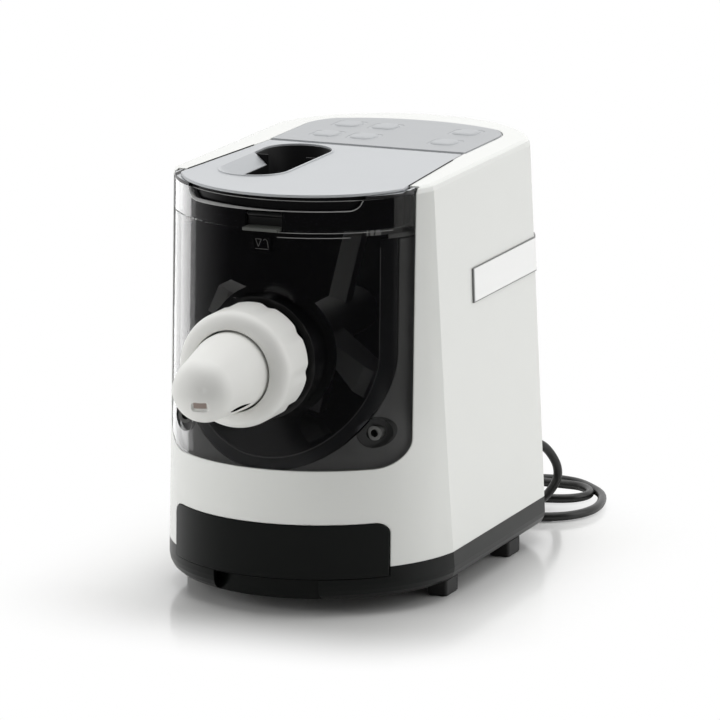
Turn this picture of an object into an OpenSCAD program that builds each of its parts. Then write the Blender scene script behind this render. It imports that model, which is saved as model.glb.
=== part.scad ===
/* [Housing] */
// Width of the housing at the floor
body_w = 208; // [200:1:216]
// Length of the housing at the floor, front window to rear wall
body_len = 333; // [325:1:345]
// Height of the lid plate above the floor
body_h = 288; // [284:1:294]
// Inward lean of each side wall in degrees
side_lean = 1.88; // [1:0.02:2.4]
// Backward lean of the front in degrees
front_lean = 0.97; // [0.6:0.01:1.4]
// Forward lean of the rear wall in degrees
rear_lean = 2.58; // [2:0.02:3]
// Thickness of the moulded walls
wall = 3; // [2.4:0.2:3.6]

/* [Base and drawer] */
// Height of the rubber feet
foot_h = 11; // [9:0.5:13]
// Height of the top edge of the base tray
base_h = 33; // [30:0.5:36]
// Height of the top edge of the drawer front
drawer_top = 63.5; // [60:0.5:68]
// Distance from the side walls to the edges of the drawer front
drawer_side = 26; // [24:0.5:34]
// Length of the storage drawer
drawer_len = 138; // [110:1:145]

/* [Front window] */
// Distance from the bottom of the chamber down to the window's lower edge
sill_drop = 7; // [6:0.5:9]
// Width of the corner posts beside the window
window_side = 16.5; // [15:0.5:20]
// Corner radius of the window
window_corner = 18; // [12:1:24]
// Thickness of the window
window_t = 3.4; // [2.6:0.2:4]
// Height of the lid skirt above the window
skirt_h = 25; // [22:0.5:28]

/* [Mixing chamber] */
// Distance from the lid plate down to the axis of the chamber, the screw and the nozzle
axis_drop = 110; // [108:0.5:112]
// Distance from the side walls to the inside of the chamber
chamber_side = 34; // [33:0.5:38]
// Radius of the screw
screw_r = 20; // [16:0.5:21]
// Radius of the extruder head's collar
head_r = 42; // [41:0.5:44]
// Radius of the extruder neck
neck_r = 31; // [29:0.5:32]
// Radius of the locking ring
ring_r = 39.6; // [38:0.2:42]
// Length of the locking ring's straight part
ring_len = 28.6; // [26:0.2:31]
// Number of finger flutes round the locking ring
ring_flutes = 12; // [8:1:14]
// Distance from the housing's front to the tip of the nozzle hood
nozzle_reach = 113; // [110:1:118]
// Radius of the hood's rounded tip
hood_tip_r = 21.5; // [19:0.5:23]

/* [Lid and panel] */
// Distance from the lid's front edge to the seam with the control panel
lid_len = 184; // [180:1:188]
// Distance from the side walls to the lid at the seam
lid_rim = 32.5; // [32:0.5:35]
// Radius of the lid's bowed front edge
lid_front_r = 89; // [86:0.5:92]
// Width of the filling hopper
hopper_w = 48; // [40:1:50]
// Length of the filling hopper
hopper_len = 120; // [100:1:124]
// Distance of the hopper's middle from the machine's middle
hopper_x = 37.5; // [34:0.5:38]
// Length of the control panel
panel_len = 106; // [104:1:108]
// Width of one key
key_w = 20.5; // [17:0.5:22]
// Travel of the keys
key_travel = 1; // [0.6:0.1:1.4]

/* [Drive] */
// Module of the gear teeth
gear_m = 1.25; // [1.2:0.05:1.3]
// Teeth of the large gears
wheel_teeth = 52; // [48:1:54]
// Teeth of the small gears
pinion_teeth = 13; // [12:1:14]
// Radius of the motor can
motor_r = 37; // [32:0.5:38]
// Length of the motor can
motor_len = 62; // [54:1:66]

/* [Clearances] */
// Gap between fixed mouldings
seam_gap = 0.4; // [0.3:0.1:0.6]
// Gap round pieces that move
run_gap = 0.4; // [0.3:0.05:0.5]
// Gap round a pin or a shaft in its bore
pin_gap = 0.05; // [0.03:0.01:0.08]

/* [Hidden] */
$fn = 96;

// Driving places, from the sizes above.
drawer_w = body_w - 2 * drawer_side;
window_w = body_w - 2 * window_side;
split_z = body_h - skirt_h;
axis_z = body_h - axis_drop;
chamber_r = body_w / 2 - chamber_side;
sill_z = axis_z - chamber_r - sill_drop;
lid_half_w = body_w / 2 - lid_rim;
overall_len = body_len + nozzle_reach;
y_front = nozzle_reach - overall_len / 2;
y_rear = overall_len / 2;
front_r = body_w / 2 + 0.5;
rear_r = body_w / 2 + 8.5;
front_cy = y_front + front_r;
rear_cy = y_rear - rear_r;
lid_t = 4;
lid_over = 1.4;
lid_y = y_front + lid_over;
seam_y = lid_y + lid_len;
lid_z = body_h - lid_t;
hinge_r = 3.3;
hinge_y = seam_y - hinge_r;
hinge_z = body_h - hinge_r;
lug_x = lid_half_w + 3.6;
lug_w = 5.6;
lug_r = 3;
panel_y = seam_y + 0.8;
panel_rear_y = seam_y + panel_len;
chamber_wall = 3;
chamber_back = seam_y - 14;
deck_z = split_z - 4.5;
bulkhead_y = chamber_back + 6;
bulkhead_t = 4;

function lean(a) = tan(a);
function half_w(z, i) = body_w / 2 - i - lean(side_lean) * z;
function front_rad(z, i) = front_r - i - lean(front_lean) * z;
function rear_rad(z, i) = rear_r - i - lean(rear_lean) * z;
// Where the front surface lies at a height and a sideways distance, sunk in by i.
function front_y(z, x = 0, i = 0) = front_cy - sqrt(pow(front_rad(z, i), 2) - x * x);
function rear_y_at(z, x = 0, i = 0) = rear_cy + sqrt(pow(rear_rad(z, i), 2) - x * x);

// The machine's outer form between levels, each a height and an inset.
module form(levels) {
  last = len(levels) - 1;
  low = levels[0][0];
  high = levels[last][0];
  intersection() {
    rotate([90, 0, 0]) translate([0, 0, -y_rear - 5]) linear_extrude(body_len + 10)
      polygon(concat([for (p = levels) [half_w(p[0], p[1]), p[0]]],
                     [for (k = [last:-1:0]) [-half_w(levels[k][0], levels[k][1]), levels[k][0]]]));
    union() {
      translate([0, front_cy, 0]) rotate_extrude($fn = 160)
        polygon(concat([[0, low]], [for (p = levels) [front_rad(p[0], p[1]), p[0]]], [[0, high]]));
      translate([0, rear_cy, 0]) rotate_extrude($fn = 160)
        polygon(concat([[0, low]], [for (p = levels) [rear_rad(p[0], p[1]), p[0]]], [[0, high]]));
      translate([-body_w, front_cy, low]) cube([2 * body_w, rear_cy - front_cy, high - low]);
    }
  }
}

// A wall of the form, t thick, sunk in by i.
module skin(i, t, low, high) {
  difference() {
    form([[low, i], [high, i]]);
    form([[low - 1, i + t], [high + 1, i + t]]);
  }
}

// Upright slab seen from the front as a rectangle with rounded lower corners.
module front_slab(w, low, high, r, y0, y1) {
  translate([0, y1, 0]) rotate([90, 0, 0]) linear_extrude(y1 - y0) union() {
    translate([-w / 2, low + r]) square([w, high - low - r]);
    translate([-w / 2 + r, low]) square([w - 2 * r, r + 1]);
    for (s = [-1, 1]) translate([s * (w / 2 - r), low + r]) circle(r);
  }
}

// Upright slab with rounded upper corners.
module arch_slab(w, low, high, r, y0, y1) {
  translate([0, y1, 0]) rotate([90, 0, 0]) linear_extrude(y1 - y0) union() {
    translate([-w / 2, low]) square([w, high - low - r]);
    translate([-w / 2 + r, high - r - 1]) square([w - 2 * r, r + 1]);
    for (s = [-1, 1]) translate([s * (w / 2 - r), high - r]) circle(r);
  }
}

module round_rect(w, l, r) {
  union() {
    square([w - 2 * r, l], center = true);
    square([w, l - 2 * r], center = true);
    for (sx = [-1, 1], sy = [-1, 1]) translate([sx * (w / 2 - r), sy * (l / 2 - r)]) circle(r, $fn = 32);
  }
}

// Cylinder along Y from y0 to y1.
module rod(r, y0, y1, x = 0, z = axis_z, f = 96) {
  translate([x, y1, z]) rotate([90, 0, 0]) cylinder(r = r, h = y1 - y0, $fn = f);
}

module ring(r_out, r_in, y0, y1, x = 0, z = axis_z) {
  difference() {
    rod(r_out, y0, y1, x, z);
    rod(r_in, y0 - 1, y1 + 1, x, z);
  }
}

// Trough outline: a half round under straight sides.
module trough(r, y0, y1, high) {
  translate([0, y1, 0]) rotate([90, 0, 0]) linear_extrude(y1 - y0) union() {
    translate([0, axis_z]) circle(r, $fn = 128);
    translate([-r, axis_z]) square([2 * r, high - axis_z]);
  }
}

// Plan of the lid, sunk in by i.
lid_side = 0.0718;
lid_cy = lid_y + lid_front_r;
module lid_plan(i) {
  front_half = lid_half_w + lid_side * lid_len;
  intersection() {
    union() {
      translate([0, lid_cy]) circle(lid_front_r - i, $fn = 180);
      translate([-lid_front_r - 10, lid_cy]) square([2 * lid_front_r + 20, seam_y - lid_cy - i]);
    }
    polygon([[lid_half_w - i, seam_y], [front_half - i, lid_y], [i - front_half, lid_y],
             [i - lid_half_w, seam_y]]);
  }
}

// Plan of the control panel, sunk in by i.
panel_half_w = lid_half_w + 1;
panel_corner = 38;
panel_bow_r = 130;
module panel_plan(i) {
  cx = panel_half_w - panel_corner;
  cy = panel_rear_y - panel_bow_r + sqrt(pow(panel_bow_r, 2) - cx * cx) - panel_corner;
  intersection() {
    translate([0, panel_rear_y - panel_bow_r]) circle(panel_bow_r - i, $fn = 180);
    union() {
      translate([i - panel_half_w, panel_y + i]) square([2 * panel_half_w - 2 * i, cy - panel_y - i]);
      translate([-cx, cy - 1]) square([2 * cx, panel_rear_y - cy]);
      for (s = [-1, 1]) translate([s * cx, cy]) circle(panel_corner - i);
    }
  }
}

// ---- housing ----

key_x = [29.6 - panel_half_w, 57.3 - panel_half_w, panel_half_w - 27.3];
key_row_y = [panel_y + 70.8, panel_y + 31];
top_t = 3;
module housing_shell() {
  color("white") difference() {
    form([[base_h, 0], [body_h - 4, 0], [body_h - 1.2, 1.1], [body_h, 4]]);
    form([[base_h - 1, wall], [body_h - top_t, wall]]);
    // opening for the lid and the panel
    translate([0, 0, body_h - top_t - 1]) linear_extrude(top_t + 2) union() {
      lid_plan(-seam_gap);
      panel_plan(-seam_gap);
      translate([-lid_half_w, seam_y - 4]) square([2 * lid_half_w, 8]);
    }
    front_slab(window_w + 2 * seam_gap, sill_z - seam_gap, body_h + 5, window_corner,
               y_front - 10, front_cy - 40);
    arch_slab(drawer_w + 2 * run_gap, base_h - 2, drawer_top + run_gap, 8, y_front - 10, front_cy - 20);
    // seat of the rear band
    intersection() {
      skin(-1, 1.9, band_z - 0.2, band_z + band_h + 0.2);
      translate([-body_w, band_y - 0.3, 0]) cube([2 * body_w, body_len, body_h]);
    }
    // cord opening
    rod(gland_r + 0.2, gland_y - 12, gland_y + 12, gland_x, gland_z);
    // pockets for the lid's hinge blocks
    for (s = [-1, 1]) translate([s * lug_x - lug_w / 2 - 0.3, hinge_y - lug_r - 0.3, body_h - 10])
      cube([lug_w + 0.6, 2 * lug_r + 0.6, 9]);
    // air slots at the rear
    for (k = [-5:5]) translate([k * 9 - 1.5, y_rear - 40, 84]) cube([3, 45, 34]);
  }
}

// Deck round the chamber, walls of the lid's well and the ledge that carries the panel.
module chamber_surround() {
  color("whitesmoke") difference() {
    union() {
      intersection() {
        form([[deck_z - 3, rim_i + 0.2], [deck_z, rim_i + 0.2]]);
        translate([-body_w, lid_y + 20, 0]) cube([2 * body_w, seam_y - lid_y - 20, body_h]);
      }
      intersection() {
        translate([0, 0, deck_z - 3]) linear_extrude(body_h - top_t - deck_z + 2.7) difference() {
          lid_plan(-2.6);
          lid_plan(-0.6);
        }
        translate([-body_w, front_cy - 38, 0]) cube([2 * body_w, seam_y - front_cy + 37, body_h]);
      }
      // ledge under the panel
      translate([0, 0, lid_z - 3.3]) linear_extrude(3) difference() {
        panel_plan(-2.5);
        panel_plan(4);
        translate([-body_w, seam_y - 10]) square([2 * body_w, 10.5]);
      }
      // wall between the lid's well and the works
      translate([-lid_half_w, seam_y + 0.5, deck_z - 3]) cube([2 * lid_half_w, 2, lid_z - deck_z + 2.6]);
      translate([-lid_half_w, seam_y - 8, deck_z - 3]) cube([2 * lid_half_w, 9, 3]);
    }
    trough(chamber_r + chamber_wall + 1, y_front, chamber_back + 1, body_h);
    for (s = [-1, 1]) translate([s * lug_x - lug_w / 2 - 1, hinge_y - lug_r - 0.3, body_h - 10])
      cube([lug_w + 1.3, 2 * lug_r + 0.6, 12]);
  }
}

module bezel_band() {
  intersection() {
    skin(window_t + 0.4, 2.6, sill_z - 8, deck_z - 4);
    front_slab(window_w - 2, sill_z - 5, body_h, window_corner, y_front - 10, front_cy - 41);
  }
}

stud_x = window_w / 2 - 18.5;
stud_z = 125;
stud_r = 5;
module front_bezel() {
  color("silver") difference() {
    bezel_band();
    trough(chamber_r + 9.4, y_front - 5, front_cy, body_h);
    for (s = [-1, 1]) rod(stud_r + 0.1, y_front, front_cy, s * stud_x, stud_z);
  }
}

// Steel studs that the front panel slides onto.
module locating_studs() {
  color("silver") for (s = [-1, 1]) {
    y0 = front_y(stud_z, stud_x) + 2.4;
    difference() {
      union() {
        rod(stud_r, y0, y0 + 22, s * stud_x, stud_z);
        rod(stud_r + 3, y0 + 18.5, y0 + 22, s * stud_x, stud_z);
      }
      rod(2.6, y0 - 1, y0 + 8, s * stud_x, stud_z, 48);
    }
  }
}

band_h = 23;
band_z = 195.7;
band_y = y_front + 138.4;
module rear_band() {
  color("white") intersection() {
    skin(-1, 1.6, band_z, band_z + band_h);
    translate([-body_w, band_y, 0]) cube([2 * body_w, body_len, body_h]);
  }
}

// ---- base ----

recess_w = 76;
recess_h = 15;
recess_d = 9;
drawer_low = foot_h + recess_h + 0.8;
module base_tray() {
  color("#161616") difference() {
    union() {
      difference() {
        form([[foot_h, 9], [foot_h + 1.5, 5.5], [foot_h + 4, 2.6], [foot_h + 7.5, 0.7], [foot_h + 11, 0],
              [base_h - 0.05, 0]]);
        form([[foot_h + 3, wall + 9], [foot_h + 9, wall + 1.5], [base_h + 1, wall + 0.6]]);
      }
      // wall behind the finger recess
      intersection() {
        skin(recess_d, 2.5, foot_h + 0.5, base_h - 1);
        translate([-recess_w / 2 - 3, y_front, 0]) cube([recess_w + 6, 60, base_h]);
      }
      // posts under the drawer bay and rib under the bulkhead
      for (x = [-60, 60], y = [-45, 20]) translate([x, y, foot_h + 2.5])
        cylinder(r = 4, h = base_h - foot_h - 2.6);
      translate([-90, bulkhead_y, foot_h + 2.5]) cube([180, bulkhead_t, base_h - foot_h - 2.6]);
    }
    // room for the drawer front
    intersection() {
      arch_slab(drawer_w + 2 * run_gap, drawer_low - run_gap, base_h + 20, 6, y_front - 10, front_cy - 20);
      difference() {
        form([[foot_h, -2], [base_h + 2, -2]]);
        form([[foot_h, wall + 0.8], [base_h + 3, wall + 0.8]]);
      }
    }
    // finger recess
    difference() {
      translate([-recess_w / 2, y_front - 5, foot_h - 1]) cube([recess_w, 60, recess_h + 1.01]);
      form([[foot_h - 2, recess_d], [base_h, recess_d]]);
    }
    // air slots
    for (k = [-4:4]) translate([k * 10 - 1.6, y_rear - 112, foot_h - 1]) cube([3.2, 60, 5]);
    for (p = foot_places) translate([p[0], p[1], 0]) cylinder(r = foot_screw_r + 0.3, h = 30, $fn = 48);
  }
}

foot_w = 14.5;
foot_l = 22;
foot_screw_r = 1.8;
foot_x = body_w / 2 - 14.7;
foot_front = y_front + body_len * 0.3135;
foot_rear = y_front + body_len * 0.6637;
foot_places = [[-foot_x, foot_front], [foot_x, foot_front], [-foot_x, foot_rear], [foot_x, foot_rear]];
module feet() {
  color("#101010") for (p = foot_places) difference() {
    translate([p[0], p[1], 0]) union() {
      translate([0, 0, 0.8]) linear_extrude(foot_h - 0.8) round_rect(foot_w, foot_l, 2);
      linear_extrude(1) round_rect(foot_w - 1.4, foot_l - 1.4, 2);
    }
    translate([p[0], p[1], -1]) cylinder(r = 4, h = 5, $fn = 48);
    translate([p[0], p[1], -1]) cylinder(r = foot_screw_r + 0.2, h = 30, $fn = 48);
  }
}

module foot_screws() {
  color("silver") for (p = foot_places) translate([p[0], p[1], 0]) difference() {
    union() {
      translate([0, 0, 1.8]) cylinder(r = 3.6, h = 2.2, $fn = 48);
      translate([0, 0, 2]) cylinder(r = foot_screw_r, h = foot_h + 6, $fn = 48);
    }
    translate([-2.6, -0.4, 1]) cube([5.2, 0.8, 1.6]);
    translate([-0.4, -2.6, 1]) cube([0.8, 5.2, 1.6]);
  }
}

// ---- drawer ----

tray_w = drawer_w - 12;
tray_low = base_h + 3;
tray_high = drawer_top - 5;
tray_front = front_y(tray_low, drawer_w / 2) + 4;
module drawer_front() {
  color("#161616") intersection() {
    difference() {
      form([[drawer_low, -0.4], [drawer_top, -0.4]]);
      form([[drawer_low - 1, wall], [drawer_top + 1, wall]]);
    }
    arch_slab(drawer_w, drawer_low, drawer_top, 8, y_front - 10, front_cy - 20);
  }
}

module storage_drawer() {
  color("dimgray") difference() {
    intersection() {
      translate([-tray_w / 2, y_front, tray_low]) cube([tray_w, drawer_len, tray_high - tray_low]);
      form([[tray_low - 1, 3.3], [tray_high + 1, 3.3]]);
    }
    intersection() {
      translate([-tray_w / 2 + 2, y_front, tray_low + 2]) cube([tray_w - 4, drawer_len - 2, tray_high]);
      form([[tray_low - 1, 5.6], [tray_high + 10, 5.6]]);
    }
  }
}

// Sleeve that the drawer runs in.
module drawer_bay() {
  color("gainsboro") difference() {
    translate([-tray_w / 2 - 3, tray_front + 4, base_h - 0.05])
      cube([tray_w + 6, drawer_len - (tray_front + 4 - y_front) + 5, tray_high + 3.4 - base_h]);
    translate([-tray_w / 2 - run_gap, tray_front, tray_low - run_gap])
      cube([tray_w + 2 * run_gap, drawer_len - (tray_front - y_front) + 1, tray_high - tray_low + 2 * run_gap]);
  }
}

// ---- chamber and front panel ----

chamber_high = deck_z;
rim_i = window_t + 0.5;
module mixing_chamber() {
  color("dimgray", 0.6) difference() {
    intersection() {
      union() {
        trough(chamber_r + chamber_wall, y_front, chamber_back, chamber_high);
        // flange behind the gasket
        intersection() {
          trough(chamber_r + 9, y_front, front_cy, chamber_high - 4);
          skin(rim_i + 3, 3, sill_z - 10, chamber_high);
        }
        rod(seal_r + 8, chamber_back - 1, bulkhead_y - 0.05);
      }
      form([[sill_z - 12, rim_i + 3], [chamber_high + 1, rim_i + 3]]);
    }
    trough(chamber_r, y_front - 5, chamber_back - chamber_wall, chamber_high + 1);
    rod(seal_r + 0.1, chamber_back - 10, bulkhead_y + 1);
  }
}

module chamber_gasket() {
  color("black") difference() {
    intersection() {
      skin(rim_i, 2.8, sill_z - 10, deck_z - 3.2);
      trough(chamber_r + 8.6, y_front - 5, front_cy, deck_z + 3);
    }
    trough(chamber_r + 0.2, y_front - 10, front_cy + 5, body_h);
  }
}

catch_w = 13.4;
catch_low = split_z - 15;
module front_panel() {
  color("black", 0.5) difference() {
    union() {
      intersection() {
        skin(0, window_t, sill_z - 1, split_z - 0.6);
        front_slab(window_w, sill_z, split_z - 0.6, window_corner, y_front - 10, front_cy - 41);
      }
      // catch for the lid latch
      translate([-catch_w / 2, front_y(split_z) - 2.6, catch_low]) cube([catch_w, 4.6, split_z - 3.4 - catch_low]);
    }
    rod(head_r + run_gap, y_front - 10, front_cy);
    for (s = [-1, 1]) rod(stud_hole_r, y_front - 10, front_cy, s * stud_x, stud_z);
    translate([-catch_w / 2 + 1.6, front_y(split_z) - 4, catch_low + 1.6])
      cube([catch_w - 3.2, 2.6, split_z - 6.6 - catch_low]);
  }
}

stud_hole_r = 10;
head_y = y_front - 1;
head_back = front_y(axis_z, head_r + 4, window_t) + 0.4;
ring_y = y_front - 11.9;
neck_y = ring_y - ring_len + 6;
barrel_r = screw_r + 1.2;
tube_r = barrel_r + 2.8;
tube_back = y_front + 64;
module extruder_head() {
  color("#1c1c1c") difference() {
    union() {
      rod(head_r, head_y - 5, head_back + 3);
      rod(head_r + 4, head_back, head_back + 3);
      rod(neck_r, neck_y, head_y + 1);
      rod(tube_r, head_y, tube_back);
      // bayonet lugs inside the locking ring
      for (k = [0:2]) intersection() {
        ring(neck_r + 2.6, neck_r - 1, neck_y + 4, neck_y + 8);
        turned(120 * k) translate([-9, neck_y, 0]) cube([18, 20, 45]);
      }
    }
    rod(barrel_r, neck_y - 1, tube_back + 5);
    // seat of the shaping die
    rod(die_r + 0.2, neck_y - 1, neck_y + die_t + 0.1);
    // mouth that lets the dough in from below
    translate([-body_w / 2, head_back + 6, axis_z - tube_r - 5]) cube([body_w, tube_back - head_back - 11, tube_r - 1]);
  }
}
// Children turned about the screw's axis.
module turned(a) {
  translate([0, 0, axis_z]) rotate([0, a, 0]) children();
}

die_r = 27;
die_t = 5;
module shaping_die() {
  color("darkseagreen") difference() {
    rod(die_r, neck_y - 0.5, neck_y + die_t - 0.2);
    for (k = [0:5]) turned(60 * k) translate([0, 0, -axis_z])
      rod(2.4, neck_y - 2, neck_y + 8, 0, axis_z + 14, 32);
    for (k = [0:2]) turned(120 * k) translate([0, 0, -axis_z])
      rod(1.8, neck_y - 2, neck_y + 8, 0, axis_z + 6, 32);
  }
}

module die_seal() {
  color("firebrick") ring(neck_r - 0.4, die_r + 0.6, neck_y - 1.6, neck_y - 0.1);
}

ring_round = 10;
ring_hole_r = 28.2;
ring_front = ring_y - ring_len;
module locking_ring() {
  color("white") difference() {
    union() {
      rod(ring_r, ring_front, ring_y);
      rod(ring_r - ring_round, ring_front - ring_round, ring_front + 1);
      // rolled front edge
      translate([0, ring_front, axis_z]) rotate([90, 0, 0]) rotate_extrude($fn = 160)
        translate([ring_r - ring_round, 0]) circle(ring_round, $fn = 64);
    }
    rod(ring_hole_r, ring_front - ring_round - 1, neck_y);
    difference() {
      rod(neck_r + 3.2, neck_y - 2.2, ring_y + 1);
      // catches behind the lugs
      for (k = [0:2]) intersection() {
        ring(neck_r + 5, neck_r + 0.4, neck_y + 8.5, neck_y + 12);
        turned(120 * k) translate([-9, neck_y, 0]) cube([18, 20, 45]);
      }
    }
    // finger flutes
    for (k = [0:ring_flutes - 1]) turned(k * 360 / ring_flutes) translate([0, 0, -axis_z])
      rod(flute_r, ring_front - ring_round - 1, ring_y + 1, ring_r + flute_r - flute_depth, axis_z, 48);
  }
}

flute_r = 13;
flute_depth = 1.3;
hood_r = ring_hole_r - 2.6;
hood_base = neck_y - 2.4;
hood_tip_y = y_front - nozzle_reach + hood_tip_r;
hood_tip_z = axis_z - 3.5;
hood_shoulder_y = hood_base - 15;
// Domed cap: a ball at the ring narrowing to a smaller ball at the tip, sunk in by i.
module hood_body(i, f) {
  hull() {
    translate([0, hood_shoulder_y, axis_z]) sphere(hood_r - i, $fn = f);
    translate([0, hood_tip_y, hood_tip_z]) sphere(hood_tip_r - i, $fn = f);
  }
}
// Places its children on the tip, facing outwards, side degrees to the right and low degrees down.
module on_tip(side, low) {
  translate([0, hood_tip_y, hood_tip_z]) rotate([90 + low, 0, side]) translate([0, 0, hood_tip_r]) children();
}
mouth_w = 2;
mouth_y = neck_y - 29.9;
mouth_spread = [10, 50];
module nozzle_hood() {
  color("white") difference() {
    union() {
      rod(hood_r, hood_shoulder_y, hood_base);
      rod(hood_r + 1.6, hood_base - 3, hood_base);
      hood_body(0, 56);
    }
    hood_body(2.2, 32);
    rod(hood_r - 2.2, hood_shoulder_y - 1, hood_base + 1);
    translate([-body_w, hood_base, 0]) cube([2 * body_w, 60, body_h]);
    // finger marks on the tip
    on_tip(13.3, 21) translate([0, 0, -1.4]) linear_extrude(6) round_rect(11.4, 7, 2.4);
    on_tip(18.7, -10.2) translate([0, 0, 11.5]) sphere(12, $fn = 48);
    // narrow mouth on the underside
    intersection() {
      ring(hood_r + 2, hood_r - 6, mouth_y, mouth_y + mouth_w);
      translate([0, mouth_y - 1, axis_z]) rotate([90, 0, 0]) translate([0, 0, -mouth_w - 2])
        linear_extrude(mouth_w + 2) polygon(concat([[0, 0]],
          [for (a = [mouth_spread[0]:10:mouth_spread[1]]) 60 * [sin(a), -cos(a)]]));
    }
  }
}

// ---- screw, paddle and drive ----

core_r = 9;
auger_back = tube_back - 0.5;
auger_front = neck_y + die_t + 2;
auger_turns = 4.5;
rib_t = 8;
auger_len = auger_back - auger_front;
// Helical rib from the core out to the rim, starting at y0.
module flight(y0, r_in, r_out, thick, len, turns) {
  n = round(24 * turns);
  pts = [for (k = [0:n]) let (a = 360 * turns * k / n)
    for (q = [[r_in, 0], [r_out, 0.25], [r_out, 0.75], [r_in, 1]])
      [q[0] * cos(a), len * k / n + q[1] * thick, q[0] * sin(a)]];
  faces = concat(
    [for (k = [0:n - 1], q = [0:3]) [4 * k + q, 4 * k + 4 + q, 4 * k + 4 + (q + 1) % 4]],
    [for (k = [0:n - 1], q = [0:3]) [4 * k + q, 4 * k + 4 + (q + 1) % 4, 4 * k + (q + 1) % 4]],
    [[0, 1, 2, 3]],
    [[4 * n + 3, 4 * n + 2, 4 * n + 1, 4 * n]]);
  translate([0, y0, axis_z]) polyhedron(points = pts, faces = faces, convexity = 10);
}
module auger_screw() {
  color("whitesmoke") union() {
    rod(core_r, auger_front, auger_back);
    flight(auger_front + 1, core_r - 1.5, screw_r, rib_t, auger_len - rib_t - 2, auger_turns);
  }
}

hub_r = 16;
hub_front = tube_back + 1.6;
hub_back = chamber_back - chamber_wall - 3;
shaft_r = 6;
hex_r = 7.5;
hex_front = hub_back - 34;
arm_tip = chamber_r - 4;
arm_y = hub_back - 42;
blade_y = hub_front + 3;
// One arm that sweeps the back of the chamber and one plough that reaches forward.
module stirrer() {
  turned(-76) translate([-2, arm_y, -6.5]) cube([arm_tip + 2, 12, 13]);
  hull() {
    turned(12) translate([hub_r - 6, blade_y + 6, -4]) cube([5, 30, 8]);
    turned(24) translate([arm_tip - 12, blade_y - 17, -10]) cube([8, 20, 20]);
  }
}
module mixing_paddle() {
  color("whitesmoke") difference() {
    union() {
      rod(hub_r, hub_front, hub_back);
      stirrer();
      translate([0, 0, 2 * axis_z]) rotate([0, 180, 0]) stirrer();
      // neck that turns the screw
      rod(core_r, hub_front - 2, hub_front + 1);
    }
    rod(hex_r + 0.2, hex_front - 0.3, hub_back + 1, 0, axis_z, 6);
  }
}

seal_r = 14;
module shaft_seal() {
  color("black") ring(seal_r, shaft_r + 0.1, chamber_back - chamber_wall + 0.1, chamber_back + 2);
}

gear_t = 9;
gb_y = bulkhead_y + bulkhead_t;
gb_wall = 3;
layer_1 = gb_y + gb_wall + 2;
layer_2 = layer_1 + gear_t + 4;
gb_back = layer_2 + gear_t + 3;
wheel_r = gear_m * wheel_teeth / 2;
pinion_r = gear_m * pinion_teeth / 2;
centre_dist = wheel_r + pinion_r + 0.15;
idler_a = -53;
idler_x = centre_dist * cos(idler_a);
idler_z = axis_z + centre_dist * sin(idler_a);
motor_a = -asin(idler_x / centre_dist);
motor_z = idler_z - centre_dist * cos(asin(idler_x / centre_dist));
module bulkhead() {
  color("gainsboro") difference() {
    intersection() {
      form([[base_h + 0.05, wall + 0.4], [deck_z - 3.4, wall + 0.4]]);
      translate([-body_w, bulkhead_y, 0]) cube([2 * body_w, bulkhead_t, body_h]);
    }
    rod(shaft_r + 3.2, bulkhead_y - 1, gb_y + 1);
  }
}

module gear_plan(r) {
  union() {
    translate([0, axis_z]) circle(wheel_r + r);
    translate([idler_x, idler_z]) circle(wheel_r + r);
    translate([0, motor_z]) circle(pinion_r + 8 + r);
  }
}
module gearbox_case() {
  color("lightgray") difference() {
    translate([0, gb_back, 0]) rotate([90, 0, 0]) linear_extrude(gb_back - gb_y) gear_plan(gb_wall + 3.5);
    translate([0, gb_back + 1, 0]) rotate([90, 0, 0]) linear_extrude(gb_back - gb_y - gb_wall + 1)
      gear_plan(3.2);
    rod(shaft_r + pin_gap, gb_y - 1, gb_back);
    rod(idler_shaft_r + 0.01, gb_y - 1, gb_y + gb_wall + 1, idler_x, idler_z, 48);
  }
}
module gearbox_cover() {
  color("lightgray") difference() {
    translate([0, gb_back + gb_wall, 0]) rotate([90, 0, 0]) linear_extrude(gb_wall) gear_plan(gb_wall + 3.5);
    rod(shaft_r + pin_gap, gb_back - 1, gb_back + 9);
    rod(idler_shaft_r + 0.01, gb_back - 1, gb_back + 9, idler_x, idler_z, 48);
    rod(motor_boss_r + 0.2, gb_back - 1, gb_back + 9, 0, motor_z);
    for (p = gb_screw_places) rod(1.8, gb_back - 1, gb_back + 9, p[0], p[1], 32);
  }
}
gb_screw_r = wheel_r + 5;
gb_screw_places = [[-gb_screw_r * sin(40), axis_z + gb_screw_r * cos(40)],
                   [gb_screw_r * sin(40), axis_z + gb_screw_r * cos(40)],
                   [-gb_screw_r * sin(100), axis_z + gb_screw_r * cos(100)],
                   [idler_x + gb_screw_r * sin(95), idler_z + gb_screw_r * cos(95)]];
module gearbox_screws() {
  color("silver") for (p = gb_screw_places) {
    rod(1.6, gb_back + 0.05, gb_back + gb_wall + 0.5, p[0], p[1], 32);
    rod(3, gb_back + gb_wall + 0.05, gb_back + gb_wall + 2, p[0], p[1], 32);
  }
}

// Spur gear along Y with straight-flanked teeth, thinned for backlash.
module gear(teeth, t, bore, turn = 0) {
  r = gear_m * teeth / 2;
  tip = r + 0.9 * gear_m;
  root = r - 1.2 * gear_m;
  step = 360 / teeth;
  a_root = step * 0.34;
  a_pitch = step * 0.235;
  a_tip = step * 0.10;
  rotate([90, 0, 0]) difference() {
    linear_extrude(t) rotate(turn) polygon([for (k = [0:teeth - 1])
      for (q = [[root, -a_root], [r, -a_pitch], [tip, -a_tip], [tip, a_tip], [r, a_pitch], [root, a_root]])
        [q[0] * cos(k * step + q[1]), q[0] * sin(k * step + q[1])]]);
    translate([0, 0, -1]) cylinder(r = bore, h = t + 2, $fn = 64);
  }
}

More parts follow.
